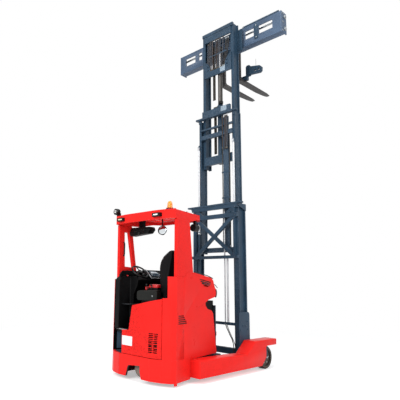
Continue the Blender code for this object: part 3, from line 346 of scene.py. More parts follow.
# Yellowed lens of the left rear lamp
AGED_LENS = Finish("yellowed_lamp_lens", "#D8CFA6", 0.3, patches=(0.1, 15), grain=(2.0, 0.15),
        coat=0.3, glow=0.1)


@dataclass
class Shape:
    """Points and polygons of a surface, as whole arrays."""

    points: np.ndarray
    faces: list[np.ndarray] = field(default_factory=list)

    def __add__(self, other: Shape) -> Shape:
        """Both surfaces in one."""
        shifted = [f + len(self.points) for f in other.faces]
        return Shape(np.vstack([self.points, other.points]), self.faces + shifted)

    def placed(self, matrix: Matrix) -> Shape:
        """The surface turned and moved by a matrix."""
        turn = np.array(matrix, float)
        return Shape(self.points @ turn[:3, :3].T + turn[:3, 3], self.faces)

    def moved(self, x: float, y: float, z: float) -> Shape:
        """The surface shifted."""
        return Shape(self.points + np.array([x, y, z]), self.faces)

    def repeated(self, offsets: list[Point] | np.ndarray) -> Shape:
        """Copies of the surface, one at each offset.

        Args:
            offsets: the shifts.

        Returns:
            One surface that holds every copy.
        """
        count, size = len(offsets), len(self.points)
        points = (np.array(offsets, float)[:, None, :] + self.points[None, :, :]).reshape(-1, 3)
        steps = (np.arange(count) * size)[:, None, None]
        faces = [(f[None, :, :] + steps).reshape(-1, f.shape[1]) for f in self.faces]
        return Shape(points, faces)

    def mirrored(self) -> Shape:
        """The surface on the other side of the middle plane, its faces turned back out."""
        return Shape(self.points * np.array([-1.0, 1.0, 1.0]), [f[:, ::-1] for f in self.faces])


def grid(points: np.ndarray, wrap_u: bool = False, wrap_v: bool = False, caps: bool = False) -> Shape:
    """Quads over a grid of points, where each face joins (i, j) to (i + 1, j + 1).

    Args:
        points: an array of (rows, columns, 3).
        wrap_u: whether the last row joins the first.
        wrap_v: whether the last column joins the first.
        caps: whether the first and last rows are closed with one polygon each.

    Returns:
        The surface, facing away from the left of the way up the rows.
    """
    rows, columns = points.shape[:2]
    i = np.arange(rows if wrap_u else rows - 1)[:, None]
    j = np.arange(columns if wrap_v else columns - 1)[None, :]
    down, right = (i + 1) % rows, (j + 1) % columns
    quads = np.stack([i * columns + j, i * columns + right, down * columns + right, down * columns + j], -1)
    faces = [quads.reshape(-1, 4)]
    if caps:
        ring = np.arange(columns)
        faces += [ring[::-1][None, :], (ring + (rows - 1) * columns)[None, :]]
    return Shape(points.reshape(-1, 3), faces)


def lathe(profile: list[tuple[float, float]], centre: Point, axis: str = "Z",
        steps: int = 32) -> Shape:
    """A surface of revolution: (radius, height) turned through a whole circle.

    Args:
        profile: (radius, height) pairs from the bottom up, along the outside.
        centre: where height 0 of the axis lies.
        axis: X, Y or Z.
        steps: faces round the circle.

    Returns:
        The surface: a ring where the profile ends where it starts, and otherwise capped at both ends.
    """
    turn = np.linspace(0.0, 2.0 * np.pi, steps, endpoint=False)
    ring = profile[0] == profile[-1]
    outline = profile[:-1] if ring else profile
    radius = np.array([max(p[0], 0.0001) for p in outline])[:, None]
    height = np.array([p[1] for p in outline])[:, None]
    across, along = radius * np.cos(turn), radius * np.sin(turn)
    level = height + 0.0 * turn
    order = {"Z": (across, along, level), "X": (level, across, along), "Y": (along, level, across)}[axis]
    return grid(np.stack(order, -1), wrap_u=ring, wrap_v=True, caps=not ring).moved(*centre)


def sweep(path: np.ndarray, profile: np.ndarray, up: Point = (0, 0, 1),
        closed: bool = False) -> Shape:
    """A profile carried along a path.

    At each point the profile's first number runs along the path's side, which is the path's
    direction crossed with the up vector, and its second along the direction square to both.

    Args:
        path: an array of (count, 3) points.
        profile: an array of (corners, 2), in order round its outline.
        up: a direction that the path never runs along.
        closed: whether the path is a loop.

    Returns:
        The surface, capped unless it is a loop.
    """
    if closed:
        ahead = np.roll(path, -1, 0) - np.roll(path, 1, 0)
    else:
        ahead = np.gradient(path, axis=0)
    ahead = ahead / np.linalg.norm(ahead, axis=1, keepdims=True)
    side = np.cross(ahead, np.array(up, float))
    side = side / np.linalg.norm(side, axis=1, keepdims=True)
    rise = np.cross(side, ahead)
    points = path[:, None, :] + profile[None, :, :1] * side[:, None, :] + profile[None, :, 1:] * rise[:, None, :]
    return grid(points, wrap_u=closed, wrap_v=True, caps=not closed)


def circle(radius: float, count: int = 12) -> np.ndarray:
    """Points of a circle in order round it."""
    turn = np.linspace(0.0, 2.0 * np.pi, count, endpoint=False)
    return radius * np.stack([np.cos(turn), np.sin(turn)], -1)


def tube(points: list[Point], radius: float, up: Point = (0, 0, 1),
        count: int = 12, steps: int = 8) -> Shape:
    """A round tube through points, along a smooth curve.

    Between two points the curve is the cubic that leaves each along the chord of its neighbours.

    Args:
        points: the places that the tube passes.
        radius: the tube's radius.
        up: a direction that the tube never runs along.
        count: faces round it.
        steps: rings between two places.

    Returns:
        The capped surface.
    """
    return sweep(smooth_path(points, steps), circle(radius, count), up)


def smooth_path(points: list[Point], steps: int = 8) -> np.ndarray:
    """Points along the cubic through places, steps between each two of them."""
    knots = np.array(points, float)
    padded = np.vstack([2 * knots[0] - knots[1], knots, 2 * knots[-1] - knots[-2]])
    t = np.linspace(0.0, 1.0, steps, endpoint=False)[None, :, None]
    a, b, c, d = (padded[k:len(padded) - 3 + k][:, None, :] for k in range(4))
    curve = 0.5 * (2 * b + (c - a) * t + (2 * a - 5 * b + 4 * c - d) * t ** 2 + (3 * b - a - 3 * c + d) * t ** 3)
    return np.vstack([curve.reshape(-1, 3), knots[-1:]])


def rounded_ring(half_x: float, half_y: float, corner: float, per_corner: int = 4) -> np.ndarray:
    """Outline of a rectangle with rounded corners: each corner's arc is placed at the corner of a smaller one."""
    quarter = np.linspace(0.0, np.pi / 2, per_corner)
    turn = (quarter[None, :] + np.arange(4)[:, None] * np.pi / 2).ravel()
    mark = np.repeat(np.array([(1, 1), (-1, 1), (-1, -1), (1, -1)], float), per_corner, 0)
    inner = np.array([half_x - corner, half_y - corner])
    return mark * inner + corner * np.stack([np.cos(turn), np.sin(turn)], -1)


def case(low: Point, high: Point, corner: float = 0.01,
        edge: float = 0.004, axis: str = "Z") -> Shape:
    """A housing with rounded corners and edges.

    Rounded rectangles are stacked along the axis. Those near the ends are drawn in along a quarter circle.

    Args:
        low: its lowest corner.
        high: its highest corner.
        corner: radius of the four long corners.
        edge: radius of the rims at both ends.
        axis: the axis that the long corners run along.

    Returns:
        The closed surface.
    """
    turn = {"Z": (0, 1, 2), "X": (1, 2, 0), "Y": (2, 0, 1)}[axis]
    a, b = np.array(low, float)[list(turn)], np.array(high, float)[list(turn)]
    half, middle = (b - a) / 2, (a + b) / 2
    angle = np.linspace(0.0, np.pi / 2, 4)
    inset = np.concatenate([edge * (1 - np.sin(angle)), edge * (1 - np.sin(angle[::-1]))])
    level = np.concatenate([-half[2] + edge * (1 - np.cos(angle)), half[2] - edge * (1 - np.cos(angle[::-1]))])
    ring = rounded_ring(half[0], half[1], min(corner, half[0] * 0.99, half[1] * 0.99))
    scale = 1.0 - inset[:, None] / half[None, :2]
    flat = ring[None, :, :] * scale[:, None, :] + middle[:2]
    rise = np.broadcast_to(level[:, None, None] + middle[2], (*flat.shape[:2], 1))
    stacked = np.concatenate([flat, rise], -1)
    back = np.argsort(turn)
    return grid(stacked[:, :, back], wrap_v=True, caps=True)


def hex_bolt(radius: float, height: float, axis: str = "Z") -> Shape:
    """A six-sided head with a chamfered top on a thin washer."""
    washer = lathe([(radius * 1.5, 0.0), (radius * 1.5, height * 0.25)], (0, 0, 0), axis, 14)
    head = lathe([(radius, height * 0.25), (radius, height * 0.85), (radius * 0.84, height)], (0, 0, 0), axis, 6)
    return washer + head


def face_out(mesh: bpy.types.Mesh) -> None:
    """Merges a mesh's doubled points and turns its faces out."""
    cage = bmesh.new()
    cage.from_mesh(mesh)
    bmesh.ops.remove_doubles(cage, verts=cage.verts, dist=0.00001)
    bmesh.ops.recalc_face_normals(cage, faces=cage.faces)
    cage.to_mesh(mesh)
    cage.free()


def settle(piece: bpy.types.Object) -> None:
    """Turns what a piece's modifiers make into its own mesh."""
    bpy.context.view_layer.update()
    graph = bpy.context.evaluated_depsgraph_get()
    mesh = bpy.data.meshes.new_from_object(piece.evaluated_get(graph))
    piece.modifiers.clear()
    piece.data = mesh


def new_piece(name: str, shape: Shape, finish: Finish) -> bpy.types.Object:
    """Puts a surface in the scene as an object with its faces out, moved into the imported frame."""
    mesh = bpy.data.meshes.new(name)
    polygons = [row for part in shape.faces for row in part.tolist()]
    mesh.from_pydata(shape.moved(0.0, Y_SHIFT, 0.0).points.tolist(), [], polygons)
    face_out(mesh)
    mesh.materials.append(finish.make())
    piece = bpy.data.objects.new(name, mesh)
    bpy.context.scene.collection.objects.link(piece)
    return piece


def dress(name: str, shape: Shape, finish: Finish, body: Body = Body.CHASSIS, smooth: float = 40.0,
        bevel: float = 0.0) -> bpy.types.Object:
    """Makes a piece from a surface, finishes it and lets it ride on a body.

    Args:
        name: the piece's name.
        shape: its surface, in the truck's own frame.
        finish: its material.
        body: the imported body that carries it.
        smooth: the angle in degrees above which an edge stays sharp.
        bevel: width of rounded edges, or 0.

    Returns:
        The new object.
    """
    piece = new_piece(name, shape, finish)
    piece.data.shade_smooth()
    piece.data.set_sharp_from_angle(angle=math.radians(smooth))
    if bevel:
        add_bevel(piece, bevel)
    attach(piece, body.value)
    LOG.info("made %s with %d points", name, len(piece.data.vertices))
    return piece


def add_bevel(piece: bpy.types.Object, width: float, angle: float = 35.0) -> None:
    """Rounds a piece's sharp edges, and keeps its flat faces flat to the light."""
    step = piece.modifiers.new("rounded_edges", "BEVEL")
    step.width = width
    step.segments = 2
    step.limit_method = "ANGLE"
    step.angle_limit = math.radians(angle)
    step.harden_normals = True


class Frame:
    """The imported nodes, and the copies that stand for them with rounded edges."""

    def __init__(self) -> None:
        """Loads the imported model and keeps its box."""
        self.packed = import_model()
        low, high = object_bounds()
        self.sizes = {"cad": [list(low), list(high)]}

    def paint(self, node: str, finish: Finish) -> None:
        """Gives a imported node's own surface a finish."""
        item = self.packed["nodes"][node]
        for slot in item.material_slots:
            slot.material = finish.make()

    def round_off(self, node: str, finish: Finish, width: float = 0.003, smooth: float = 35.0,
            heal: Callable[[np.ndarray], np.ndarray] | None = None, cut: Shape | None = None) -> bpy.types.Object:
        """Puts a copy with rounded edges in a node's place.

        Args:
            node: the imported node.
            finish: the copy's material.
            width: the rounding in metres.
            smooth: the angle in degrees above which an edge is rounded.
            heal: takes the faces' centres and marks those of the coarse slots that are closed.
            cut: finer slots that are cut out of the copy.

        Returns:
            The copy, which rides on the node's body.
        """
        item = self.packed["nodes"][node]
        cage = bmesh.new()
        cage.from_mesh(item.data)
        bmesh.ops.remove_doubles(cage, verts=cage.verts, dist=0.00002)
        bmesh.ops.dissolve_limit(cage, angle_limit=math.radians(0.5), verts=cage.verts, edges=cage.edges)
        if heal is not None:
            self.close_slots(cage, heal)
        mesh = bpy.data.meshes.new(f"{node}_shell")
        cage.to_mesh(mesh)
        cage.free()
        copy = bpy.data.objects.new(f"{node}_shell", mesh)
        bpy.context.scene.collection.objects.link(copy)
        mesh.materials.append(finish.make())
        if cut is not None:
            self.carve(copy, cut)
        copy.data.shade_smooth()
        copy.data.set_sharp_from_angle(angle=math.radians(smooth))
        if width:
            add_bevel(copy, width, smooth)
        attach(copy, item["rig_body"])
        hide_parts(node)
        return copy

    def close_slots(self, cage: bmesh.types.BMesh, heal: Callable[[np.ndarray], np.ndarray]) -> None:
        """Takes the marked faces out and closes the holes that they leave."""
        own = np.array([f.calc_center_median() for f in cage.faces]) - TO_PACKED
        gone = [f for f, out in zip(list(cage.faces), heal(own)) if out]
        bmesh.ops.delete(cage, geom=gone, context="FACES")
        rims = [e for e in cage.edges if e.is_boundary]
        bmesh.ops.holes_fill(cage, edges=rims, sides=0)
        bmesh.ops.recalc_face_normals(cage, faces=cage.faces)

    def carve(self, copy: bpy.types.Object, cut: Shape) -> None:
        """Cuts slots out of a shell, their walls near black as painted shade, and keeps the result as its own mesh."""
        cutter = new_piece("slot_cutter", cut, VENT_SHADE_BLACK)
        step = copy.modifiers.new("slots", "BOOLEAN")
        step.operation, step.solver, step.object = "DIFFERENCE", "EXACT", cutter
        step.material_mode = "TRANSFER"
        settle(copy)
        bpy.data.objects.remove(cutter)

    def accent(self, copy: bpy.types.Object, finish: Finish, inside: Callable[[np.ndarray], np.ndarray]) -> None:
        """Gives the faces of a shell that lie in some region a second finish.

        Args:
            copy: the shell.
            finish: the second finish.
            inside: takes the faces' centres, in the truck's own frame, and says which lie in the region.
        """
        copy.data.materials.append(finish.make())
        centres = np.zeros(len(copy.data.polygons) * 3)
        copy.data.polygons.foreach_get("center", centres)
        own = centres.reshape(-1, 3) - TO_PACKED
        slot = len(copy.data.materials) - 1
        marks = np.where(inside(own), slot, 0)
        before = np.zeros(len(copy.data.polygons), dtype=int)
        copy.data.polygons.foreach_get("material_index", before)
        copy.data.polygons.foreach_set("material_index", np.maximum(before, marks))

    def write_sizes(self) -> None:
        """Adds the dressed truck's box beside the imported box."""
        low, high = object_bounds()
        self.sizes["visual"] = [list(low), list(high)]


@dataclass
class Studio:
    """Camera, lamps, floor and backdrop."""

    lens: float = 38.634
    shift: tuple[float, float] = (0.1451, 0.0203)
    place: Point = (4.41544, -4.21057 + Y_SHIFT, 1.300)
    right: Point = (0.68804384, 0.72538099, 0.02044759)
    down: Point = (-0.10957523, 0.13170708, -0.98521394)
    ahead: Point = (-0.71734856, 0.67562983, 0.17010403)

    def build(self) -> None:
        """Makes the whole studio."""
        self.add_camera()
        self.add_lamps()
        self.add_floor()
        self.add_world()
        bpy.context.scene.view_settings.view_transform = "Standard"

    def add_camera(self) -> None:
        """Sets the camera at the photograph's viewing angle."""
        data = bpy.data.cameras.new("camera")
        data.lens = self.lens
        data.sensor_width = 36.0
        data.shift_x, data.shift_y = self.shift
        data.clip_end = 200.0
        camera = bpy.data.objects.new("camera", data)
        bpy.context.scene.collection.objects.link(camera)
        axes = Matrix((self.right, tuple(-v for v in self.down), tuple(-v for v in self.ahead))).transposed()
        camera.matrix_world = Matrix.Translation(self.place) @ axes.to_4x4()
        bpy.context.scene.camera = camera

    def add_lamp(self, name: str, place: Point, aim: Point, size: float,
            power: float) -> None:
        """Adds a square area lamp.

        Args:
            name: the lamp's name.
            place: where it hangs.
            aim: the point that it faces.
            size: its side.
            power: its output in watts.
        """
        data = bpy.data.lights.new(name, "AREA")
        data.shape = "SQUARE"
        data.size = size
        data.energy = power
        lamp = bpy.data.objects.new(name, data)
        bpy.context.scene.collection.objects.link(lamp)
        lamp.location = place
        lamp.rotation_mode = "QUATERNION"
        lamp.rotation_quaternion = (Vector(aim) - Vector(place)).to_track_quat("-Z", "Y")

    def add_lamps(self) -> None:
        """Hangs a broad key lamp behind the truck, a fill at its right and a soft top lamp."""
        self.add_lamp("key_lamp", (1.0, -9.0, 5.5), (0.0, -0.6, 1.6), 5.0, 600.0)
        self.add_lamp("side_lamp", (8.0, -1.5, 4.5), (0.0, 0.2, 2.2), 4.5, 330.0)
        self.add_lamp("top_lamp", (0.5, -1.0, 11.0), (0.0, 0.0, 1.5), 6.0, 420.0)

    def add_floor(self) -> None:
        """Lays a pale floor that looks white to the camera but keeps the truck's shadow."""
        reach = np.linspace(-40.0, 40.0, 9)
        across, along = np.meshgrid(reach, reach, indexing="ij")
        level = grid(np.stack([across, along, np.zeros_like(across)], -1))
        mesh = bpy.data.meshes.new("floor")
        mesh.from_pydata(level.points.tolist(), [], level.faces[0][:, ::-1].tolist())
        floor = bpy.data.objects.new("floor", mesh)
        bpy.context.scene.collection.objects.link(floor)
        mesh.materials.append(self.floor_material())
        floor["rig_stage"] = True

    def floor_material(self) -> bpy.types.Material:
        """Matt white sheet for the camera, in gloss and through glass.

        Its own light tops it up to white near the truck, where it keeps the shadow, and takes over from the
        lit sheet between 3 and 7 m away, so that it runs into the white backdrop.
        """
        material = bpy.data.materials.new("white_studio_sheet")
        material.use_nodes = True
        tree = material.node_tree
        tree.nodes.clear()
        matt = add_node(tree, "ShaderNodeBsdfDiffuse", {}, {"Color": linear("#F4F4F4")})
        glow = add_node(tree, "ShaderNodeEmission", {}, {"Color": (1, 1, 1, 1), "Strength": 0.44})
        near = add_node(tree, "ShaderNodeAddShader", {}, {0: matt.outputs["BSDF"], 1: glow.outputs["Emission"]})
        far = add_node(tree, "ShaderNodeEmission", {}, {"Color": (1, 1, 1, 1), "Strength": 1.0})
        where = add_node(tree, "ShaderNodeTexCoord").outputs["Object"]
        away = add_node(tree, "ShaderNodeVectorMath", {"operation": "LENGTH"}, {0: where})
        fade = add_node(tree, "ShaderNodeMapRange", {}, {"Value": away.outputs["Value"], "From Min": 3.0,
                "From Max": 7.0})
        sheet = add_node(tree, "ShaderNodeMixShader", {}, {"Fac": fade.outputs["Result"], 1: near.outputs["Shader"],
                2: far.outputs["Emission"]})
        mix = add_node(tree, "ShaderNodeMixShader", {}, {"Fac": self.seen_share(tree), 1: matt.outputs["BSDF"],
                2: sheet.outputs["Shader"]})
        add_node(tree, "ShaderNodeOutputMaterial", {}, {"Surface": mix.outputs["Shader"]})
        return material

    def seen_share(self, tree: bpy.types.NodeTree) -> bpy.types.NodeSocket:
        """Adds up the rays that come from the camera, from gloss and through glass."""
        path = add_node(tree, "ShaderNodeLightPath")
        first = add_node(tree, "ShaderNodeMath", {"operation": "MAXIMUM"}, {0: path.outputs["Is Camera Ray"],
                1: path.outputs["Is Glossy Ray"]})
        both = add_node(tree, "ShaderNodeMath", {"operation": "MAXIMUM"}, {0: first.outputs["Value"],
                1: path.outputs["Is Transmission Ray"]})
        return both.outputs["Value"]

    def add_world(self) -> None:
        """Makes the backdrop white for the camera, and a plain soft light for everything else."""
        world = bpy.data.worlds.new("studio")
        world.use_nodes = True
        bpy.context.scene.world = world
        tree = world.node_tree
        tree.nodes.clear()
        white = add_node(tree, "ShaderNodeBackground", {}, {"Color": (1, 1, 1, 1), "Strength": 1.0})
        soft = add_node(tree, "ShaderNodeBackground", {}, {"Color": linear("#EEF2F7"), "Strength": 0.35})
        mix = add_node(tree, "ShaderNodeMixShader", {}, {"Fac": self.seen_share(tree),
                1: soft.outputs["Background"], 2: white.outputs["Background"]})
        add_node(tree, "ShaderNodeOutputWorld", {}, {"Surface": mix.outputs["Shader"]})


def node_box(node: str) -> tuple[np.ndarray, np.ndarray]:
    """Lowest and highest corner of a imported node, in the truck's own frame."""
    low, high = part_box(node)
    return np.array(low) - TO_PACKED, np.array(high) - TO_PACKED


def strip(path: np.ndarray, thick: float, tall: float) -> Shape:
    """A flat band on edge: a rectangle of thickness by height carried along a level path."""
    half = np.array([thick, tall]) / 2
    corners = np.array([(1, 1), (-1, 1), (-1, -1), (1, -1)]) * half
    return sweep(path, corners)


def prism(outline: np.ndarray, along: np.ndarray) -> Shape:
    """An outline in X and Z carried straight along Y and closed at both ends."""
    size = (len(along), len(outline))
    points = np.stack([np.broadcast_to(outline[:, 0], size), np.broadcast_to(along[:, None], size),
            np.broadcast_to(outline[:, 1], size)], -1)
    return grid(points, wrap_v=True, caps=True)


def joined(parts: Iterable[Shape]) -> Shape:
    """All the surfaces in one."""
    whole = Shape(np.zeros((0, 3)))
    for part in parts:
        whole = whole + part
    return whole


def hoop(radius: float, bar: float, centre: Point, axis: str = "Z", steps: int = 32) -> Shape:
    """A ring: a circle of the bar's radius carried round a circle of the ring's radius."""
    turn = np.linspace(0.0, 2.0 * np.pi, steps, endpoint=False)
    flat = {"Z": (np.cos(turn), np.sin(turn), 0 * turn), "X": (0 * turn, np.cos(turn), np.sin(turn)),
            "Y": (np.sin(turn), 0 * turn, np.cos(turn))}[axis]
    up = {"Z": (0, 0, 1), "X": (1, 0, 0), "Y": (0, 1, 0)}[axis]
    return sweep(radius * np.stack(flat, -1), circle(bar, 10), up, closed=True).moved(*centre)


@dataclass
class Bodywork:
    """Painted covers, guard and legs of the truck, and what is let into them."""

    red_shells: tuple[str, ...] = ("rear_skirt", "right_cover", "left_cover", "service_door", "overhead_guard",
            "left_post", "right_pillar", "left_leg", "right_leg")
    edge: float = 0.006
    slot_edge: float = 0.0025
    half_rear: float = 0.61
    taper: float = 0.183
    bow_x: tuple[float, ...] = (0.0, 0.30, 0.47, 0.575, 0.605)
    bow_y: tuple[float, ...] = (-0.15, -0.15, -0.10, -0.035, 0.03)
    flank_vents: tuple[tuple[float, float, float, float], ...] = ((0.08, 0.32, 0.77, 0.90), (0.70, 0.92, 1.24,
            1.36))
    # each slot's start and end in Y, and its height at both
    flank_rows: tuple[tuple[float, float, float, float], ...] = ((0.08, 0.205, 0.874, 0.874), (0.08, 0.228, 0.850,
            0.850), (0.08, 0.250, 0.825, 0.825), (0.08, 0.278, 0.800, 0.800), (0.08, 0.290, 0.776, 0.776), (0.65,
            0.970, 1.357, 1.318), (0.67, 0.960, 1.330, 1.295), (0.70, 0.930, 1.302, 1.274), (0.75, 0.900, 1.272,
            1.254))
    slot_tall: float = 0.014
    plate_low: tuple[float, float] = (-0.243, 0.448)
    plate_high: tuple[float, float] = (-0.036, 0.572)

    def side_x(self, y: np.ndarray) -> np.ndarray:
        """Half width of the body at a distance forward of the rear corners."""
        return self.half_rear - self.taper * y

    def rear_y(self, x: np.ndarray) -> np.ndarray:
        """How far forward the bowed rear face is at a distance from the middle."""
        return np.interp(np.abs(x), self.bow_x, self.bow_y)

    def build(self, frame: Frame) -> None:
        """Rounds and paints the covers, and adds what is let into them."""
        for node in self.red_shells:
            if node == "right_cover":
                frame.round_off(node, RED_PAINT, self.slot_edge, heal=self.is_coarse_slot, cut=self.flank_slots())
            elif node == "service_door":
                frame.round_off(node, RED_PAINT, self.slot_edge, cut=self.door_slots())
            elif node == "rear_skirt":
                frame.round_off(node, RED_PAINT, 0.004, smooth=9.0, cut=self.arch())
            else:
                shell = frame.round_off(node, RED_PAINT, self.edge)
                if node == "left_cover":
                    frame.accent(shell, BLACK_ABS, self.is_inner_wall)
        frame.round_off("base_frame", DUSTY_PAINT, 0.003)
        frame.round_off("battery", BLACK_ABS, 0.003)
        floor = frame.round_off("cab_floor", BLACK_ABS, 0.004)
        frame.accent(floor, STEP_PAINT, self.is_riser)
        for node in ("cab_wall", "power_hood"):
            frame.round_off(node, BLACK_ABS, 0.008)
        self.add_vent_backs()
        self.add_arch_liner()
        self.add_top_gasket()
        self.add_foot_wall()
        self.add_blank_plate()
        self.add_step()
        self.add_skirt_crease_shade()
        self.add_nose_handle()
        self.add_roof_bolts()

    def is_riser(self, centres: np.ndarray) -> np.ndarray:
        """Faces of the step's riser, the wall across the truck below the cab floor."""
        return (centres[:, 2] < 0.59) & (centres[:, 1] > 0.36)

    def is_coarse_slot(self, centres: np.ndarray) -> np.ndarray:
        """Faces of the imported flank's plain vent slots, which lie 1 to 30 mm under the paint."""
        deep = self.side_x(centres[:, 1]) - centres[:, 0]
        inside = np.zeros(len(centres), bool)
        for start, end, low, high in self.flank_vents:
            inside |= (centres[:, 1] > start) & (centres[:, 1] < end) & (centres[:, 2] > low) & (centres[:, 2] < high)
        return inside & (deep > 0.001) & (deep < 0.030)

    def flank_slots(self) -> Shape:
        """Vent slots of the right flank: five level ones low down, and four that follow the cover's top."""
        half = self.slot_tall / 2
        corners = np.array([(0.01, -half), (0.01, half), (-0.014, half), (-0.014, -half)])

        def slot(start: float, end: float, rear_z: float, front_z: float) -> Shape:
            y, z = np.array([start, end]), np.array([rear_z, front_z])
            points = np.stack([self.side_x(y)[:, None] + corners[None, :, 0], np.broadcast_to(y[:, None], (2, 4)),
                    z[:, None] + corners[None, :, 1]], -1)
            return grid(points, wrap_v=True, caps=True)

        return joined(slot(*row) for row in self.flank_rows)

    def door_slots(self) -> Shape:
        """Vent slots of the door: two columns of eleven, which lean a little as they rise."""
        rise, lean, tall = 0.0232, 0.0012, 0.0125
        pair = [case((left, -0.25, 0.4045), (right, -0.05, 0.4045 + tall), 0.0005, 0.0002)
                for left, right in ((0.270, 0.338), (0.346, 0.404))]
        return joined(slot.moved(lean * row, 0.0, rise * row) for row in range(11) for slot in pair)

    def arch(self) -> Shape:
        """What the wheel arch takes out of the skirt: a leaning outline carried through the plate."""
        outline = np.array([(-0.170, 0.0), (-0.118, 0.175), (-0.100, 0.196), (0.112, 0.214), (0.120, 0.205), (0.118,
                0.0)])
        return prism(outline, np.array([-0.3, 0.02]))

    def is_inner_wall(self, centres: np.ndarray) -> np.ndarray:
        """Faces of the left cover that look in at the foot well."""
        deep = self.side_x(centres[:, 1]) - np.abs(centres[:, 0])
        return (deep > 0.002) & (centres[:, 2] > 0.1) & (centres[:, 1] > self.rear_y(centres[:, 0]) + 0.008)

    def add_foot_wall(self) -> None:
        """Teal sheet on the left cover's inner face, below the cab floor."""
        y = np.linspace(0.022, 0.355, 4)
        sheet = strip(np.stack([0.1923 * y - 0.5578, y, 0 * y + 0.4675], -1), 0.003, 0.243)
        dress("foot_well_sheet", sheet, STEP_PAINT)

    def add_top_gasket(self) -> None:
        """Black rubber strip under the power hood, along the right cover's top edge."""
        path = [(0.517, 0.506, 1.452), (0.491, 0.649, 1.437), (0.459, 0.827, 1.419), (0.442, 0.92, 1.403), (0.420,
                1.036, 1.378)]
        dress("right_cover_gasket", tube(path, 0.0065, up=(1, 0, 0)), BLACK_NYLON)

    def add_vent_backs(self) -> None:
        """Mesh behind the door's vent slots, near black as painted shade: a band that follows the bow."""
        x = np.linspace(0.262, 0.425, 14)
        door = strip(np.stack([x, self.rear_y(x) + 0.034, 0.515 + 0 * x], -1), 0.002, 0.27)
        dress("door_vent_mesh", door, VENT_SHADE_BLACK, Body.DOOR)

    def add_arch_liner(self) -> None:
        """Plate round the front of the drive wheel's arch, bent back at its left end, its dark red a painted shade."""
        path = smooth_path([(-0.40, 0.10, 0.175), (-0.40, 0.24, 0.175), (-0.36, 0.355, 0.175), (-0.25, 0.385,
                0.175), (0.10, 0.385, 0.175)], 5)
        dress("arch_liner", strip(path, 0.004, 0.27), ARCH_SHADE_RED)

    def add_blank_plate(self) -> None:
        """Blank white plate with rounded corners on the flat middle of the door."""
        (left, low), (right, high) = self.plate_low, self.plate_high
        face = self.bow_y[0]
        plate = case((left, face - 0.0022, low), (right, face + 0.001, high), 0.007, 0.0008, "Y")
        dress("blank_plate", plate, WHITE_PLATE, Body.DOOR)

    def add_step(self) -> None:
        """Ribbed mat on the foot step and on the cab floor, and the metal nosing of the floor's edge."""
        low, high = node_box("cab_floor")
        deck = node_box("base_frame")[1][2] + 0.0005
        dress("step_mat", self.ribbed_mat((-0.515, 0.02), (-0.30, 0.35), deck), STEP_MAT)
        dress("floor_mat", self.ribbed_mat((-0.25, -0.02), (-0.215, 0.68), high[2] + 0.0005), STEP_MAT)
        path = np.array([(-0.54, -0.0065, high[2] + 0.002), (-0.42, -0.015, high[2] + 0.002), (-0.288, -0.0245,
                high[2] + 0.002)])
        dress("floor_nosing", strip(path, 0.006, 0.012), BRUSHED_ALUMINIUM, bevel=0.002)

    def ribbed_mat(self, low: tuple[float, float], high: tuple[float, float], level: float) -> Shape:
        """A mat whose ribs run along Y: its height follows a raised cosine across X.

        Args:
            low: its left rear corner.
            high: its right front corner.
            level: what it lies on.

        Returns:
            The closed mat: the ribbed top over a flat underside.
        """
        across = np.linspace(low[0], high[0], 97)
        rib = 0.0035 + 0.0015 * np.cos(2 * np.pi * (across - low[0]) / 0.014)
        top = np.stack([across, level + rib], -1)
        under = np.stack([across[::-1], level + 0 * rib], -1)
        return prism(np.vstack([top, under]), np.linspace(low[1], high[1], 4))

    def add_skirt_crease_shade(self) -> None:
        """Darker red lines down the skirt's bends, as painted shade along the creases."""
        rise = np.linspace(0.06, 0.325, 8)
        paths = [np.stack([x + 0 * rise, self.rear_y(x) - 0.0004 + 0 * rise, rise], -1) for x in (-0.30, 0.30)]
        dress("skirt_bend_shade_lines", joined(sweep(path, circle(0.0012, 6), (0, 1, 0)) for path in paths), SKIRT_CREASE_SHADE)

    def add_nose_handle(self) -> None:
        """Hood lever and its red grip on the nose of the right cover."""
        lever = tube([(0.37, 1.075, 1.285), (0.406, 1.10, 1.287), (0.414, 1.125, 1.265), (0.42, 1.15, 1.238)],
                0.005, up=(0, 0, 1))
        dress("hood_lever", lever, BLACK_NYLON)
        grip = tube([(0.398, 1.128, 1.104), (0.397, 1.143, 1.125), (0.397, 1.150, 1.158), (0.398, 1.146, 1.190),
                (0.400, 1.134, 1.212)], 0.0125, up=(1, 0, 0), count=14)
        dress("release_grip", grip, GRIP_RUBBER)

    def add_roof_bolts(self) -> None:
        """Bolts that hold the guard to its posts, seen from above."""
        top = node_box("overhead_guard")[1][2]
        head = hex_bolt(0.009, 0.008)
        places = [(side * 0.545, y, top) for side in (-1, 1) for y in (0.08, 0.16, 0.30)]
        dress("guard_bolts", head.repeated(places), ZINC)


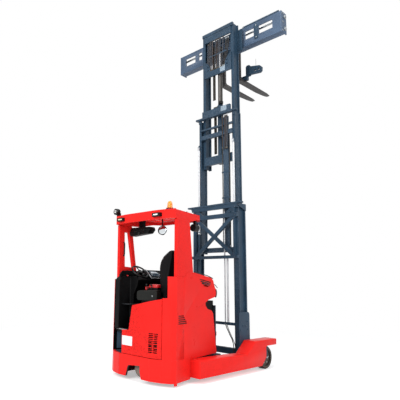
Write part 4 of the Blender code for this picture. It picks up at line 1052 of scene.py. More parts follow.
@dataclass
class Padding:
    """Foam under vinyl: a slightly smaller form that is remeshed evenly and blown up as cloth."""

    voxel: float = 0.006
    pressure: float = 4.0
    steps: int = 20
    cap: float = 0.010

    def make(self, name: str, shape: Shape, node: str, grooves: list[tuple[str, float, float]], face: tuple[float,
            float, float], fill: float = 0.8, body: Body = Body.CHASSIS) -> bpy.types.Object:
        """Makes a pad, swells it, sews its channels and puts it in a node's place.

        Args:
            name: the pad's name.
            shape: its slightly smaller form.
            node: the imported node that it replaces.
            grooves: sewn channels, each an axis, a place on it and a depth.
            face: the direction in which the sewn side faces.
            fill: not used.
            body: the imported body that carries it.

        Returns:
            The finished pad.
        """
        pad = dress(name, shape, SEAT_VINYL, body, smooth=180.0)
        self.even_out(pad)
        self.swell(pad)
        self.sew(pad, grooves, np.array(face, float))
        pad.data.shade_smooth()
        rounder = pad.modifiers.new("soft_surface", "SUBSURF")
        rounder.levels = rounder.render_levels = 1
        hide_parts(node)
        return pad

    def even_out(self, pad: bpy.types.Object) -> None:
        """Remeshes the form in voxels, so that it swells evenly."""
        step = pad.modifiers.new("even_mesh", "REMESH")
        step.mode = "VOXEL"
        step.voxel_size = self.voxel * 1.0
        settle(pad)

    def swell(self, pad: bpy.types.Object) -> None:
        """Runs the cloth under pressure and caps how far each point moves."""
        start = self.points_of(pad.data)
        cloth = pad.modifiers.new("pressed_foam", "CLOTH")
        cloth.settings.use_pressure = True
        cloth.settings.uniform_pressure_force = self.pressure
        cloth.settings.effector_weights.gravity = 0.0
        cloth.point_cache.frame_end = self.steps
        scene = bpy.context.scene
        for step in range(1, self.steps + 1):
            scene.frame_set(step)
        graph = bpy.context.evaluated_depsgraph_get()
        blown = self.points_of(pad.evaluated_get(graph).data)
        pad.modifiers.clear()
        scene.frame_set(1)
        move = blown - start
        size = np.linalg.norm(move, axis=1, keepdims=True)
        capped = start + move * np.minimum(1.0, self.cap / np.maximum(size, 1e-9))
        pad.data.vertices.foreach_set("co", capped.ravel())
        pad.data.update()

    def sew(self, pad: bpy.types.Object, grooves: list[tuple[str, float, float]], face: np.ndarray) -> None:
        """Draws sewn channels in: depth falls off as a bell curve beside each seam, on the side that faces out."""
        places = self.points_of(pad.data) - TO_PACKED
        normals = np.zeros(len(places) * 3)
        pad.data.vertices.foreach_get("normal", normals)
        facing = np.clip(normals.reshape(-1, 3) @ face, 0.0, 1.0)
        sunk = np.zeros(len(places))
        for axis, at, depth in grooves:
            off = (places[:, "XYZ".index(axis)] - at) / 0.009
            sunk = np.maximum(sunk, depth * np.exp(-off ** 2))
        moved = places - face * (sunk * facing)[:, None] + TO_PACKED
        pad.data.vertices.foreach_set("co", moved.ravel())
        pad.data.update()

    def points_of(self, mesh: bpy.types.Mesh) -> np.ndarray:
        """The mesh's points as an array of (count, 3)."""
        flat = np.zeros(len(mesh.vertices) * 3)
        mesh.vertices.foreach_get("co", flat)
        return flat.reshape(-1, 3)


def pillow(outline: list[tuple[float, float]], low: float, high: float, edge: float, rings: int = 14) -> Shape:
    """A padded form: an outline in X and Z carried along Y, drawn in towards both ends.

    The outline is smoothed first. Near the ends it shrinks about its middle as a superellipse does.

    Args:
        outline: corners of the side view, in order round it.
        low: where the form starts in Y.
        high: where it ends.
        edge: how far it shrinks at the ends, in metres.
        rings: sections along Y.

    Returns:
        The closed surface.
    """
    knots = [(x, 0.0, z) for x, z in outline]
    ring = smooth_path(knots + knots[:1], 6)[:-1][:, [0, 2]]
    middle = (ring.min(0) + ring.max(0)) / 2
    half = (ring.max(0) - ring.min(0)) / 2
    t = np.sin(np.linspace(-np.pi / 2, np.pi / 2, rings))
    shrink = 1.0 - (1.0 - (1.0 - np.abs(t) ** 6) ** 0.5)[:, None] * (edge / half)[None, :]
    flat = middle + (ring - middle)[None, :, :] * shrink[:, None, :]
    y = np.broadcast_to(((low + high) / 2 + t * (high - low) / 2)[:, None, None], (*flat.shape[:2], 1))
    return grid(np.concatenate([flat[:, :, :1], y, flat[:, :, 1:]], -1), wrap_v=True, caps=True)


@dataclass
class Cab:
    """The driver's place: console, wheel, seat, armrest, levers and display."""

    wheel_hub: Point = (-0.345, 0.26, 1.455)

    def build(self, frame: Frame) -> None:
        """Finishes the console and the seat, and adds what the driver holds and reads."""
        frame.round_off("dash_console", BLACK_ABS, 0.012)
        frame.round_off("seat_base", BLACK_ABS, 0.004)
        frame.round_off("steering_wheel", BLACK_NYLON, 0.002)
        self.add_cushion()
        self.add_back()
        self.add_armrest(frame)
        self.add_levers()
        self.add_cowl()
        self.add_display()
        self.add_console_trim()
        self.add_wheel_knob()
        self.add_bellows()

    def add_cushion(self) -> None:
        """Seat cushion with raised bolsters: two sewn channels along it and one across."""
        low, high = node_box("seat_cushion")
        inset = 0.007
        a, b, c, d = low[0] + inset, high[0] - inset, low[2] + 0.001, high[2] - inset
        outline = [(a + 0.02, c), (b - 0.02, c), (b, c + 0.02), (b - 0.004, d - 0.035), (b - 0.03, d - 0.022),
                (a + 0.16, d - 0.01), (a + 0.06, d), (a + 0.015, d - 0.02), (a, (c + d) / 2), (a + 0.004,
                c + 0.015)]
        form = pillow(outline, low[1] + inset, high[1] - inset, 0.03)
        grooves = [("Y", 0.285, 0.009), ("Y", 0.535, 0.009), ("X", -0.045, 0.006), ("X", -0.17, 0.005)]
        Padding(cap=0.006).make("seat_cushion_pad", form, "seat_cushion", grooves, (0, 0, 1))

    def add_back(self) -> None:
        """Tall shaped backrest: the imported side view, drawn in a little, with channels down and across."""
        low, high = node_box("seat_back")
        outline = [(0.170, 0.978), (0.262, 0.978), (0.266, 1.20), (0.322, 1.48), (0.362, 1.66), (0.366, 1.735),
                (0.330, 1.752), (0.252, 1.714), (0.186, 1.668), (0.134, 1.60), (0.113, 1.53), (0.112, 1.44), (0.124,
                1.30), (0.150, 1.12), (0.170, 1.05)]
        form = pillow(outline, low[1] + 0.007, high[1] - 0.007, 0.014, rings=18)
        grooves = [("Y", 0.285, 0.009), ("Y", 0.535, 0.009), ("Z", 1.20, 0.006), ("Z", 1.38, 0.006), ("Z", 1.56,
                0.006)]
        Padding(cap=0.006).make("seat_back_pad", form, "seat_back", grooves, (-1, 0, 0.25))

    def add_armrest(self, frame: Frame) -> None:
        """Armrest shell with a separate pad on top."""
        frame.round_off("armrest", BLACK_ABS, 0.006)
        low, high = node_box("armrest")
        under, top = high[2] - 0.125, high[2] + 0.024
        outline = [(low[0] + 0.02, under), (high[0] - 0.01, under), (high[0] + 0.004, under + 0.02),
                (high[0] + 0.004, top - 0.02), (high[0] - 0.02, top), (low[0] + 0.08, top - 0.006), (low[0] + 0.012,
                top - 0.018), (low[0] - 0.004, top - 0.05), (low[0] - 0.002, under + 0.03)]
        pad = dress("armrest_pad", pillow(outline, low[1] - 0.005, high[1] + 0.005, 0.010, 8), ARM_VINYL, smooth=180.0)
        rounder = pad.modifiers.new("soft_surface", "SUBSURF")
        rounder.levels = rounder.render_levels = 1

    def add_levers(self) -> None:
        """Lever block with its red caps and guard, and two hydraulic levers with round knobs."""
        top = node_box("armrest")[1][2]
        block = case((-0.10, 0.135, top - 0.03), (0.15, 0.235, top + 0.035), 0.02, 0.008)
        dress("lever_block", block, BLACK_ABS)
        low_cap = case((-0.105, 0.132, top + 0.020), (-0.045, 0.225, top + 0.072), 0.02, 0.012)
        high_cap = case((-0.025, 0.132, top + 0.052), (0.15, 0.232, top + 0.104), 0.025, 0.014)
        dress("lever_block_caps", low_cap + high_cap, RED_KNOB)
        guard = case((-0.03, 0.125, top + 0.010), (0.155, 0.215, top + 0.056), 0.016, 0.008)
        dress("lever_guard", guard, BLACK_ABS)
        sticks = Shape(np.zeros((0, 3)))
        for x in (-0.03, 0.06):
            sticks = sticks + tube([(x, 0.12, top - 0.005), (x - 0.005, 0.112, top + 0.04), (x - 0.012, 0.11,
                    top + 0.085)], 0.006, up=(1, 0, 0))
            sticks = sticks + lathe([(0.0, -0.016), (0.011, -0.012), (0.016, 0.0), (0.011, 0.012), (0.0, 0.016)],
                    (x - 0.012, 0.11, top + 0.095), "Z", 16)
        dress("hydraulic_levers", sticks, BLACK_NYLON)
        screw = hex_bolt(0.008, 0.006, "Y").placed(Matrix.Rotation(math.pi, 4, "Z")).moved(0.12, 0.066, 1.112)
        dress("armrest_screw", screw, ZINC)

    def add_cowl(self) -> None:
        """Instrument cowl on the console, and the lining that rises beside the left post's foot.

        The cowl is a wedge whose top falls towards the driver. The lining is a wall whose top edge is round.
        """
        section = np.array([(-0.47, 1.36), (-0.47, 1.475), (-0.455, 1.486), (-0.372, 1.486), (-0.36, 1.480),
                (-0.252, 1.374), (-0.246, 1.362), (-0.262, 1.342), (-0.36, 1.372)])
        y = np.array([0.41, 0.55, 0.69])
        points = np.stack([np.broadcast_to(section[None, :, 0], (3, 9)) + 0.09 * (y[:, None] - 0.41),
                np.broadcast_to(y[:, None], (3, 9)), np.broadcast_to(section[None, :, 1], (3, 9))], -1)
        points[:, 5:8, 0] -= 0.09 * (y[:, None] - 0.41)
        dress("instrument_cowl", grid(points, wrap_v=True, caps=True), BLACK_ABS, bevel=0.006)
        way = smooth_path([(-0.480, -0.022, 0.0), (-0.480, 0.06, 0.0), (-0.479, 0.20, 0.0), (-0.474, 0.34, 0.0),
                (-0.466, 0.45, 0.0)], 6)
        rise = 1.472 - 0.075 * np.clip((0.05 - way[:, 1]) / 0.08, 0.0, 1.0) ** 2
        low = np.full(len(way), 1.375)
        wide = 0.011
        wall = np.stack([np.stack([way[:, 0] - wide, way[:, 1], low], -1), np.stack([way[:, 0] - wide, way[:, 1],
                rise - 0.01], -1), np.stack([way[:, 0] - wide * 0.5, way[:, 1], rise - 0.002], -1), np.stack([way[:,
                0] + wide * 0.5, way[:, 1], rise - 0.002], -1), np.stack([way[:, 0] + wide, way[:, 1], rise - 0.01],
                -1), np.stack([way[:, 0] + wide, way[:, 1], low], -1)], 1)
        dress("console_lining", grid(wall, wrap_v=True, caps=True), BLACK_ABS, bevel=0.003)

    def add_display(self) -> None:
        """Small lit display let into the cowl's sloping face, in a dark glass frame."""
        ahead = Vector((0.108, 0.0, -0.106)).normalized()
        normal = Vector((0.106, 0.0, 0.108)).normalized()
        turn = Matrix((ahead, Vector((0, 1, 0)), normal)).transposed().to_4x4()
        turn = Matrix.Translation((-0.308, 0.545, 1.4325)) @ turn
        glass = case((-0.058, -0.105, -0.004), (0.058, 0.105, 0.004), 0.012, 0.0015).placed(turn)
        field_ = case((-0.040, -0.075, 0.003), (-0.006, 0.060, 0.0048), 0.004, 0.0006).placed(turn)
        dress("display_glass", glass, SCREEN_GLASS)
        dress("display_field", field_, LIT_SCREEN)

    def add_console_trim(self) -> None:
        """Pale edge strip down the cowl and along its foot, and the red stop button."""
        path = np.array([(-0.40, 0.405, 1.489), (-0.366, 0.405, 1.488), (-0.31, 0.405, 1.434), (-0.25, 0.405, 1.374)])
        side = strip(path, 0.009, 0.011)
        foot = sweep(np.array([(-0.246, 0.41, 1.366), (-0.245, 0.55, 1.366), (-0.245, 0.69, 1.366)]), circle(0.0055, 8))
        dress("console_trim", side + foot, PALE_BEZEL)
        button = lathe([(0.010, 0.0), (0.010, 0.008), (0.014, 0.010), (0.014, 0.016), (0.0, 0.019)], (-0.44, 0.10,
                1.384), "Z", 20)
        dress("stop_button", button, RED_KNOB)

    def add_wheel_knob(self) -> None:
        """Spinner knob on the steering wheel's rim."""
        x, y, z = self.wheel_hub
        knob = lathe([(0.006, -0.01), (0.006, 0.012), (0.02, 0.018), (0.024, 0.035), (0.017, 0.05), (0.0, 0.053)],
                (x + 0.10, y - 0.02, z - 0.075), "Z", 20)
        dress("steering_knob", knob, BLACK_NYLON)

    def add_bellows(self) -> None:
        """Suspension bellows round the seat's pedestal: its radius swings in and out as it rises."""
        low, high = node_box("seat_base")
        rise = np.linspace(high[2] - 0.16, high[2] - 0.012, 41)
        swing = 0.006 * np.cos(np.linspace(0, 10 * np.pi, 41))
        half = (high[:2] - low[:2]) / 2
        middle = (high[:2] + low[:2]) / 2
        ring = rounded_ring(half[0], half[1], 0.03)
        scale = 1.0 + (0.004 + swing)[:, None] / half[None, :]
        flat = middle + ring[None, :, :] * scale[:, None, :]
        level = np.broadcast_to(rise[:, None, None], (*flat.shape[:2], 1))
        dress("seat_bellows", grid(np.concatenate([flat, level], -1), wrap_v=True, caps=True), HOSE_RUBBER, smooth=60.0)


@dataclass
class MastLooks:
    """Enamel, rods, bolts and plates on the three mast stages and their brace."""

    painted: tuple[str, ...] = ("reach_carriage", "mast_brace", "inner_mast", "lift_carriage")
    rod: Point = (0.371, 1.699, 0.0215)
    riser: Point = (0.18, 1.680, 0.0125)
    ram_y: float = 1.857

    def build(self, frame: Frame) -> None:
        """Paints the stages, gives the rods their own finish and adds the fastenings."""
        for node in self.painted:
            frame.round_off(node, MAST_PAINT, 0.002)
        outer = frame.round_off("outer_mast", MAST_PAINT, 0.002)
        frame.accent(outer, ROD_ENAMEL, self.is_riser)
        middle = frame.round_off("middle_mast", MAST_PAINT, 0.002)
        frame.accent(middle, ROD_ENAMEL, self.is_rod)
        ram = frame.round_off("free_lift_rod", OILED_RAM, 0.001)
        frame.accent(ram, CHAIN_STEEL, self.is_chain)
        frame.paint("reach_barrel", DUSTY_PAINT)
        frame.paint("reach_rod", HARD_CHROME)
        self.add_glands()
        self.add_bolts()
        self.add_plates()
        self.add_weld_beads()

    def is_riser(self, centres: np.ndarray) -> np.ndarray:
        """Faces of the thin pipe up the outer stage."""
        x, y, radius = self.riser
        return (np.hypot(centres[:, 0] - x, centres[:, 1] - y) < radius) & (centres[:, 2] > 0.705)

    def is_rod(self, centres: np.ndarray) -> np.ndarray:
        """Faces of the lift rods below their eyes."""
        x, y, radius = self.rod
        off = np.hypot(np.abs(centres[:, 0]) - x, centres[:, 1] - y)
        return (off < radius - 0.002) & (centres[:, 2] < 3.678)

    def is_chain(self, centres: np.ndarray) -> np.ndarray:
        """Faces of the chain wheel and the chain's plain core."""
        return (centres[:, 0] < -0.0735) & ((centres[:, 2] < 5.55) | (centres[:, 2] > 5.632))

    def add_glands(self) -> None:
        """Gland nuts on the lift barrels and the free-lift barrel, with their wiper rings."""
        x, y, radius = self.rod
        nut = lathe([(0.019, 0.0), (0.028, 0.0), (0.029, 0.004), (0.029, 0.03), (0.026, 0.036), (0.019, 0.036),
                (0.019, 0.0)], (x, y, 2.146), "Z", 24)
        dress("lift_glands", nut + nut.mirrored(), ZINC, Body.REACH)
        ram = lathe([(0.0505, 0.0), (0.058, 0.0), (0.060, 0.006), (0.060, 0.034), (0.055, 0.040), (0.0505, 0.040),
                (0.0505, 0.0)], (0.0, self.ram_y, 4.447), "Z", 36)
        rings = hoop(0.0605, 0.002, (0.0, self.ram_y, 4.462)) + hoop(0.0605, 0.002, (0.0, self.ram_y, 4.478))
        dress("free_lift_gland", ram + rings, MAST_PAINT, Body.INNER)
        ports = lathe([(0.0, 0.0), (0.014, 0.0), (0.014, 0.02), (0.010, 0.022), (0.010, 0.034), (0.0, 0.034)],
                (0.052, self.ram_y, 3.62), "X", 18)
        dress("free_lift_port", ports, ZINC, Body.INNER)

    def add_bolts(self) -> None:
        """Bolt heads on the rear faces of ties, brace and gussets, all pointing back."""
        head = self.rear_bolt(0.011, 0.008)
        brace = [(side * x, 1.6158, z) for side in (-1, 1) for x, z in ((0.43, 1.735), (0.43, 2.42), (0.415, 2.36),
                (0.43, 2.55), (0.40, 2.47), (0.33, 2.47))]
        dress("brace_bolts", head.repeated(brace), MAST_PAINT, Body.REACH)
        small = self.rear_bolt(0.008, 0.006)
        middle = [(side * x, 1.7055, z) for side in (-1, 1) for x, z in ((0.31, 4.05), (0.315, 3.92), (0.315, 3.89),
                (0.26, 4.36), (0.21, 4.36), (0.31, 1.86))]
        dress("middle_stage_bolts", small.repeated(middle), MAST_PAINT, Body.MIDDLE)
        inner = [(side * x, 1.7705, z) for side in (-1, 1) for x, z in ((0.27, 5.12), (0.27, 5.36), (0.24, 3.46),
                (0.28, 5.95), (0.32, 5.95))]
        dress("inner_stage_bolts", small.repeated(inner), MAST_PAINT, Body.INNER)
        wing = hex_bolt(0.012, 0.009, "X")
        places = [(0.4828, y, z) for y, z in ((1.65, 0.72), (1.65, 0.60), (1.85, 0.72), (1.85, 0.60), (1.72,
                0.66), (1.79, 0.66))]
        side = wing.repeated(places)
        dress("cheek_bolts", side + side.mirrored(), MAST_PAINT, Body.REACH)

    def rear_bolt(self, radius: float, height: float) -> Shape:
        """A hexagon head with a washer that faces the rear."""
        head = hex_bolt(radius, height, "Y") + lathe([(0.0, -0.0005), (radius * 1.4, -0.0005), (radius * 1.4,
                0.002), (0.0, 0.002)], (0, 0, 0), "Y", 18)
        return head.placed(Matrix.Rotation(math.pi, 4, "Z"))

    def add_plates(self) -> None:
        """Bare light plates on the lower beam and on the middle stage's head."""
        lower = case((0.062, 1.7665, 5.100), (0.170, 1.7705, 5.192), 0.006, 0.0012, "Y")
        dress("lower_beam_plate", lower, PALE_STEEL, Body.INNER)
        upper = case((0.115, 1.7015, 4.305), (0.236, 1.7055, 4.400), 0.006, 0.0012, "Y")
        dress("head_plate", upper, PALE_STEEL, Body.MIDDLE)
        block = case((0.005, 1.776, 4.495), (0.085, 1.83, 4.545), 0.008, 0.004)
        dress("ram_clamp", block, BLACK_NYLON, Body.INNER)

    def add_weld_beads(self) -> None:
        """Weld beads where ties meet rails: a tube whose radius ripples every 6 mm along the seam."""
        def bead(x: float, y: float, low: float, high: float) -> Shape:
            rise = np.linspace(low, high, max(8, int((high - low) / 0.0015)))
            turn = np.linspace(0, 2 * np.pi, 8, endpoint=False)
            radius = 0.0042 + 0.0008 * np.sin(rise * 2 * np.pi / 0.006)
            points = np.stack([x + radius[:, None] * np.cos(turn), y + radius[:, None] * np.sin(turn),
                    np.broadcast_to(rise[:, None], (len(rise), 8))], -1)
            return grid(points, wrap_v=True, caps=True)
        inner = bead(0.2875, 1.7925, 5.09, 5.40) + bead(0.2875, 1.7925, 3.40, 3.53)
        dress("inner_weld_beads", inner + inner.mirrored(), MAST_PAINT, Body.INNER)
        outer = bead(0.396, 1.664, 0.22, 0.305) + bead(0.396, 1.664, 0.657, 0.698)
        dress("outer_weld_beads", outer + outer.mirrored(), MAST_PAINT, Body.REACH)


@dataclass
class LiftChain:
    """Leaf chain: rows of waisted plates on pins, laid along its path a pitch apart."""

    pitch: float = 0.0190
    tall: float = 0.016
    plate: float = 0.0034
    rows: int = 9
    wide: float = 0.052
    wheel: float = 0.045
    centre: Point = (-0.10, 1.857, 5.63)

    def build(self, frame: Frame) -> None:
        """Lays the chain over its wheel and down to the carriage, and the fixed one in the inner stage."""
        x, y, z = self.centre
        turn = np.linspace(np.pi, 0.0, 13)
        over = np.stack([x + 0 * turn, y + self.wheel * np.cos(turn), z + self.wheel * np.sin(turn)], -1)
        rear = np.array([(x, y - self.wheel, 4.615), (x, y - self.wheel, z)])
        front = np.array([(x, y + self.wheel, z), (x, y + self.wheel, 5.588)])
        path = np.vstack([rear[:1], over, front[1:]])
        dress("lift_chain", self.links(path), CHAIN_STEEL, Body.FREE_LIFT)
        short = np.array([(x, y + self.wheel, 5.49), (x, y + self.wheel, 5.572)])
        dress("carriage_chain", self.links(short), CHAIN_STEEL, Body.CARRIAGE)
        fixed = np.array([(x, 1.838, 3.60), (x, 1.838, 4.484)])
        plate = case((x - 0.035, 1.826, 4.462), (-0.056, 1.852, 4.486), 0.004, 0.002)
        dress("fixed_chain", self.links(fixed) + plate, CHAIN_STEEL, Body.INNER)
        self.add_wheel_flanges()
        self.add_anchor()

    def outline(self) -> np.ndarray:
        """Half a pitch either side of a link's middle: two round ends with a waist between.

        The half height is the round end's circle where that is higher, and otherwise a
        shallow cosine that narrows to seven tenths in the middle.
        """
        half = self.pitch / 2
        radius = self.tall / 2
        u = np.linspace(-half - radius * 0.98, half + radius * 0.98, 15)
        off = np.abs(np.abs(u) - half)
        rounded = np.sqrt(np.clip(radius ** 2 - off ** 2, 0.0, None))
        waist = radius * (0.85 - 0.15 * np.cos(np.pi * u / half)) * (np.abs(u) < half)
        v = np.maximum(rounded, waist * 0.86)
        return np.vstack([np.stack([u, v], -1), np.stack([u[::-1], -v[::-1]], -1)])

    def links(self, path: np.ndarray) -> Shape:
        """Plates and pins along a path that lies in a plane across X."""
        steps = np.linalg.norm(np.diff(path, axis=0), axis=1)
        length = np.concatenate([[0.0], np.cumsum(steps)])
        at = np.arange(self.pitch / 2, length[-1] - self.pitch / 2, self.pitch)
        places = np.stack([np.interp(at, length, path[:, k]) for k in range(3)], -1)
        ahead = np.stack([np.interp(at + 0.002, length, path[:, k]) for k in range(3)], -1)
        behind = np.stack([np.interp(at - 0.002, length, path[:, k]) for k in range(3)], -1)
        along = ahead - behind
        along /= np.linalg.norm(along, axis=1, keepdims=True)
        side = np.array([1.0, 0.0, 0.0])
        up = np.cross(side, along)
        flat = self.outline()
        chain = Shape(np.zeros((0, 3)))
        for row, offset in enumerate(np.linspace(-0.5, 0.5, self.rows) * (self.wide - self.plate)):
            middle = places + (along * self.pitch / 2 if row % 2 else 0.0)
            face = (middle[:, None, :] + flat[None, :, :1] * along[:, None, :] + flat[None, :, 1:] * up[:, None, :])
            low = face + side * (offset - self.plate / 2)
            high = face + side * (offset + self.plate / 2)
            count = flat.shape[0]
            ring = np.arange(count)
            walls = np.stack([ring, (ring + 1) % count, (ring + 1) % count + count, ring + count], -1)
            start = (np.arange(len(places)) * 2 * count)[:, None, None]
            faces = [(walls[None] + start).reshape(-1, 4), (ring[None, None, ::-1] + start).reshape(-1, count),
                    (ring[None, None, :] + count + start).reshape(-1, count)]
            chain = chain + Shape(np.concatenate([low, high], 1).reshape(-1, 3), faces)
        pin = lathe([(0.0, -self.wide / 2 - 0.002), (0.0036, -self.wide / 2 - 0.002), (0.0036,
                self.wide / 2 + 0.002), (0.0, self.wide / 2 + 0.002)], (0, 0, 0), "X", 10)
        pins = pin.repeated(np.vstack([places, places + along * self.pitch / 2, places - along * self.pitch / 2]))
        return chain + pins

    def add_wheel_flanges(self) -> None:
        """Flanges of the chain wheel and the nut on its stub."""
        x, y, z = self.centre
        flange, other = [lathe([(0.012, 0.0), (0.052, 0.0), (0.056, 0.003), (0.052, 0.006), (0.012, 0.006),
                (0.012, 0.0)], (x + side, y, z), "X", 40) for side in (0.029, -0.035)]
        nut = hex_bolt(0.016, 0.012, "X").moved(x + 0.034, y, z)
        dress("chain_wheel_flanges", flange + other + nut, OILED_RAM, Body.FREE_LIFT)

    def add_anchor(self) -> None:
        """Threaded anchor rods and nuts under the carriage's chain."""
        x, y, _ = self.centre
        parts = Shape(np.zeros((0, 3)))
        for side in (-0.014, 0.014):
            parts = parts + lathe([(0.0, 0.0), (0.006, 0.0), (0.006, 0.028), (0.0, 0.028)], (x + side,
                    y + self.wheel, 5.452), "Z", 12)
            parts = parts + hex_bolt(0.010, 0.008).moved(x + side, y + self.wheel, 5.468)
        dress("chain_anchor_nuts", parts, ZINC, Body.CARRIAGE)


@dataclass
class HoseRuns:
    """Hydraulic hoses and cables fixed at both ends, with their crimped fittings and clips."""

    hose: float = 0.009

    def build(self, frame: Frame) -> None:
        """Adds each run to the stage that carries both of its ends."""
        self.add_inner_runs()
        self.add_middle_runs()
        self.add_foot_runs()
        self.add_guard_cable()

    def run(self, name: str, points: list[Point], radius: float, body: Body,
            finish: Finish = HOSE_RUBBER) -> None:
        """One hose on a smooth path, with a crimped ferrule and nut at both ends."""
        path = smooth_path(points, 8)
        dress(name, sweep(path, circle(radius, 12), (1, 0, 0)), finish, body, smooth=60.0)
        ends = Shape(np.zeros((0, 3)))
        for here, there in ((path[0], path[2]), (path[-1], path[-3])):
            way = Vector(there - here).normalized()
            turn = way.to_track_quat("Z", "Y").to_matrix().to_4x4()
            ferrule = lathe([(0.0, -0.004), (radius * 1.1, -0.004), (radius * 1.35, 0.0), (radius * 1.35, 0.026),
                    (radius * 1.2, 0.030), (radius, 0.030)], (0, 0, 0), "Z", 16)
            ends = ends + ferrule.placed(Matrix.Translation(Vector(here)) @ turn)
        dress(f"{name}_fittings", ends, ZINC if finish is HOSE_RUBBER else CHAIN_STEEL, body)

    def add_inner_runs(self) -> None:
        """Hoses beside the ram in the inner stage, the dark loom at its left and the cluster in its head."""
        for i, (x, low) in enumerate(((0.105, 5.20), (0.135, 5.20), (0.165, 5.24))):
            self.run(f"inner_hose_{i + 1}", [(x, 1.800, low), (x + 0.006, 1.806, 5.32), (x + 0.03, 1.812, 5.45),
                    (x + 0.055, 1.812, 5.60), (x + 0.06, 1.812, 5.76)], self.hose, Body.INNER)
        for i, x in enumerate((-0.185, -0.215, -0.245)):
            self.run(f"inner_loom_{i + 1}", [(x, 1.806, 5.26 + 0.03 * i), (x - 0.002, 1.812, 5.45), (x + 0.008,
                    1.814, 5.62), (x + 0.012, 1.812, 5.78)], 0.0105, Body.INNER, HOSE_SLEEVE)
        for i, (x, lean, finish) in enumerate(((-0.165, 0.004, HOSE_SLEEVE), (-0.135, 0.012, HOSE_SLEEVE), (-0.104,
                -0.006, BROWN_SLEEVE), (-0.060, 0.01, HOSE_SLEEVE), (-0.030, 0.018, BROWN_SLEEVE), (-0.006, 0.03,
                HOSE_SLEEVE), (0.020, 0.034, HOSE_SLEEVE), (0.090, 0.03, HOSE_SLEEVE))):
            self.run(f"head_hose_{i + 1}", [(x, 1.786, 5.195), (x + lean * 0.2, 1.784, 5.36), (x + lean, 1.784,
                    5.58), (x + lean * 1.2, 1.788, 5.80)], 0.0095, Body.INNER, finish)
        clamp = case((-0.185, 1.7755, 5.470), (0.205, 1.7785, 5.492), 0.004, 0.001, "Y")
        dress("head_hose_clamp", clamp, MAST_PAINT, Body.INNER)
        rod = tube([(0.050, 1.786, 5.195), (0.050, 1.786, 5.32), (0.050, 1.790, 5.47)], 0.008, up=(1, 0, 0))
        dress("pressure_pipe", rod, ROD_ENAMEL, Body.INNER)

    def add_middle_runs(self) -> None:
        """Hoses in the middle stage, black beside the guard and brown behind it, and the return pipe below."""
        for i, x in enumerate((0.112, 0.258)):
            self.run(f"middle_hose_{i + 1}", [(x, 1.748, 1.90), (x, 1.7495, 2.60), (x, 1.7495, 3.40), (x, 1.748,
                    3.875)], self.hose, Body.MIDDLE)
        clips = case((0.095, 1.742, -0.014), (0.275, 1.7445, 0.014), 0.004, 0.001, "Y")
        places = [(0.0, 0.0, z) for z in (2.30, 2.75, 3.20, 3.65)]
        dress("hose_clips", clips.repeated(places), MAST_PAINT, Body.MIDDLE)
        for i, (x, turn) in enumerate(((0.154, 0.0), (0.2065, 0.0), (0.230, 0.02), (0.251, -0.016))):
            self.run(f"brown_hose_{i + 1}", [(x + turn, 1.6945, 3.60), (x, 1.6945, 3.72), (x, 1.694, 3.95), (x,
                    1.6945, 4.20)], 0.0095, Body.MIDDLE, BROWN_SLEEVE if i < 2 else HOSE_SLEEVE)
        pipe = tube([(0.237, 1.676, 0.70), (0.237, 1.676, 1.20), (0.237, 1.676, 1.715)], 0.0165, up=(1, 0, 0))
        dress("return_pipe", pipe, ROD_ENAMEL, Body.REACH)

    def add_foot_runs(self) -> None:
        """Hoses that hang in a narrow V from the mast's foot beam to the reach carriage."""
        self.run("foot_hose_1", [(0.18, 1.672, 0.690), (0.21, 1.664, 0.62), (0.275, 1.650, 0.52), (0.335, 1.645,
                0.42), (0.352, 1.650, 0.30), (0.33, 1.655, 0.20)], 0.007, Body.REACH)
        self.run("foot_hose_2", [(0.215, 1.668, 0.665), (0.26, 1.655, 0.58), (0.32, 1.642, 0.49), (0.372, 1.642,
                0.39), (0.385, 1.650, 0.28), (0.36, 1.655, 0.20)], 0.006, Body.REACH)

    def add_guard_cable(self) -> None:
        """Cable of the horn and the beacon along the guard's inner face."""
        cable = tube([(0.40, 0.645, 2.15), (0.385, 0.60, 2.185), (0.35, 0.56, 2.21), (0.345, 0.52, 2.238)], 0.004,
                up=(1, 0, 0))
        dress("horn_cable", cable, HOSE_RUBBER)


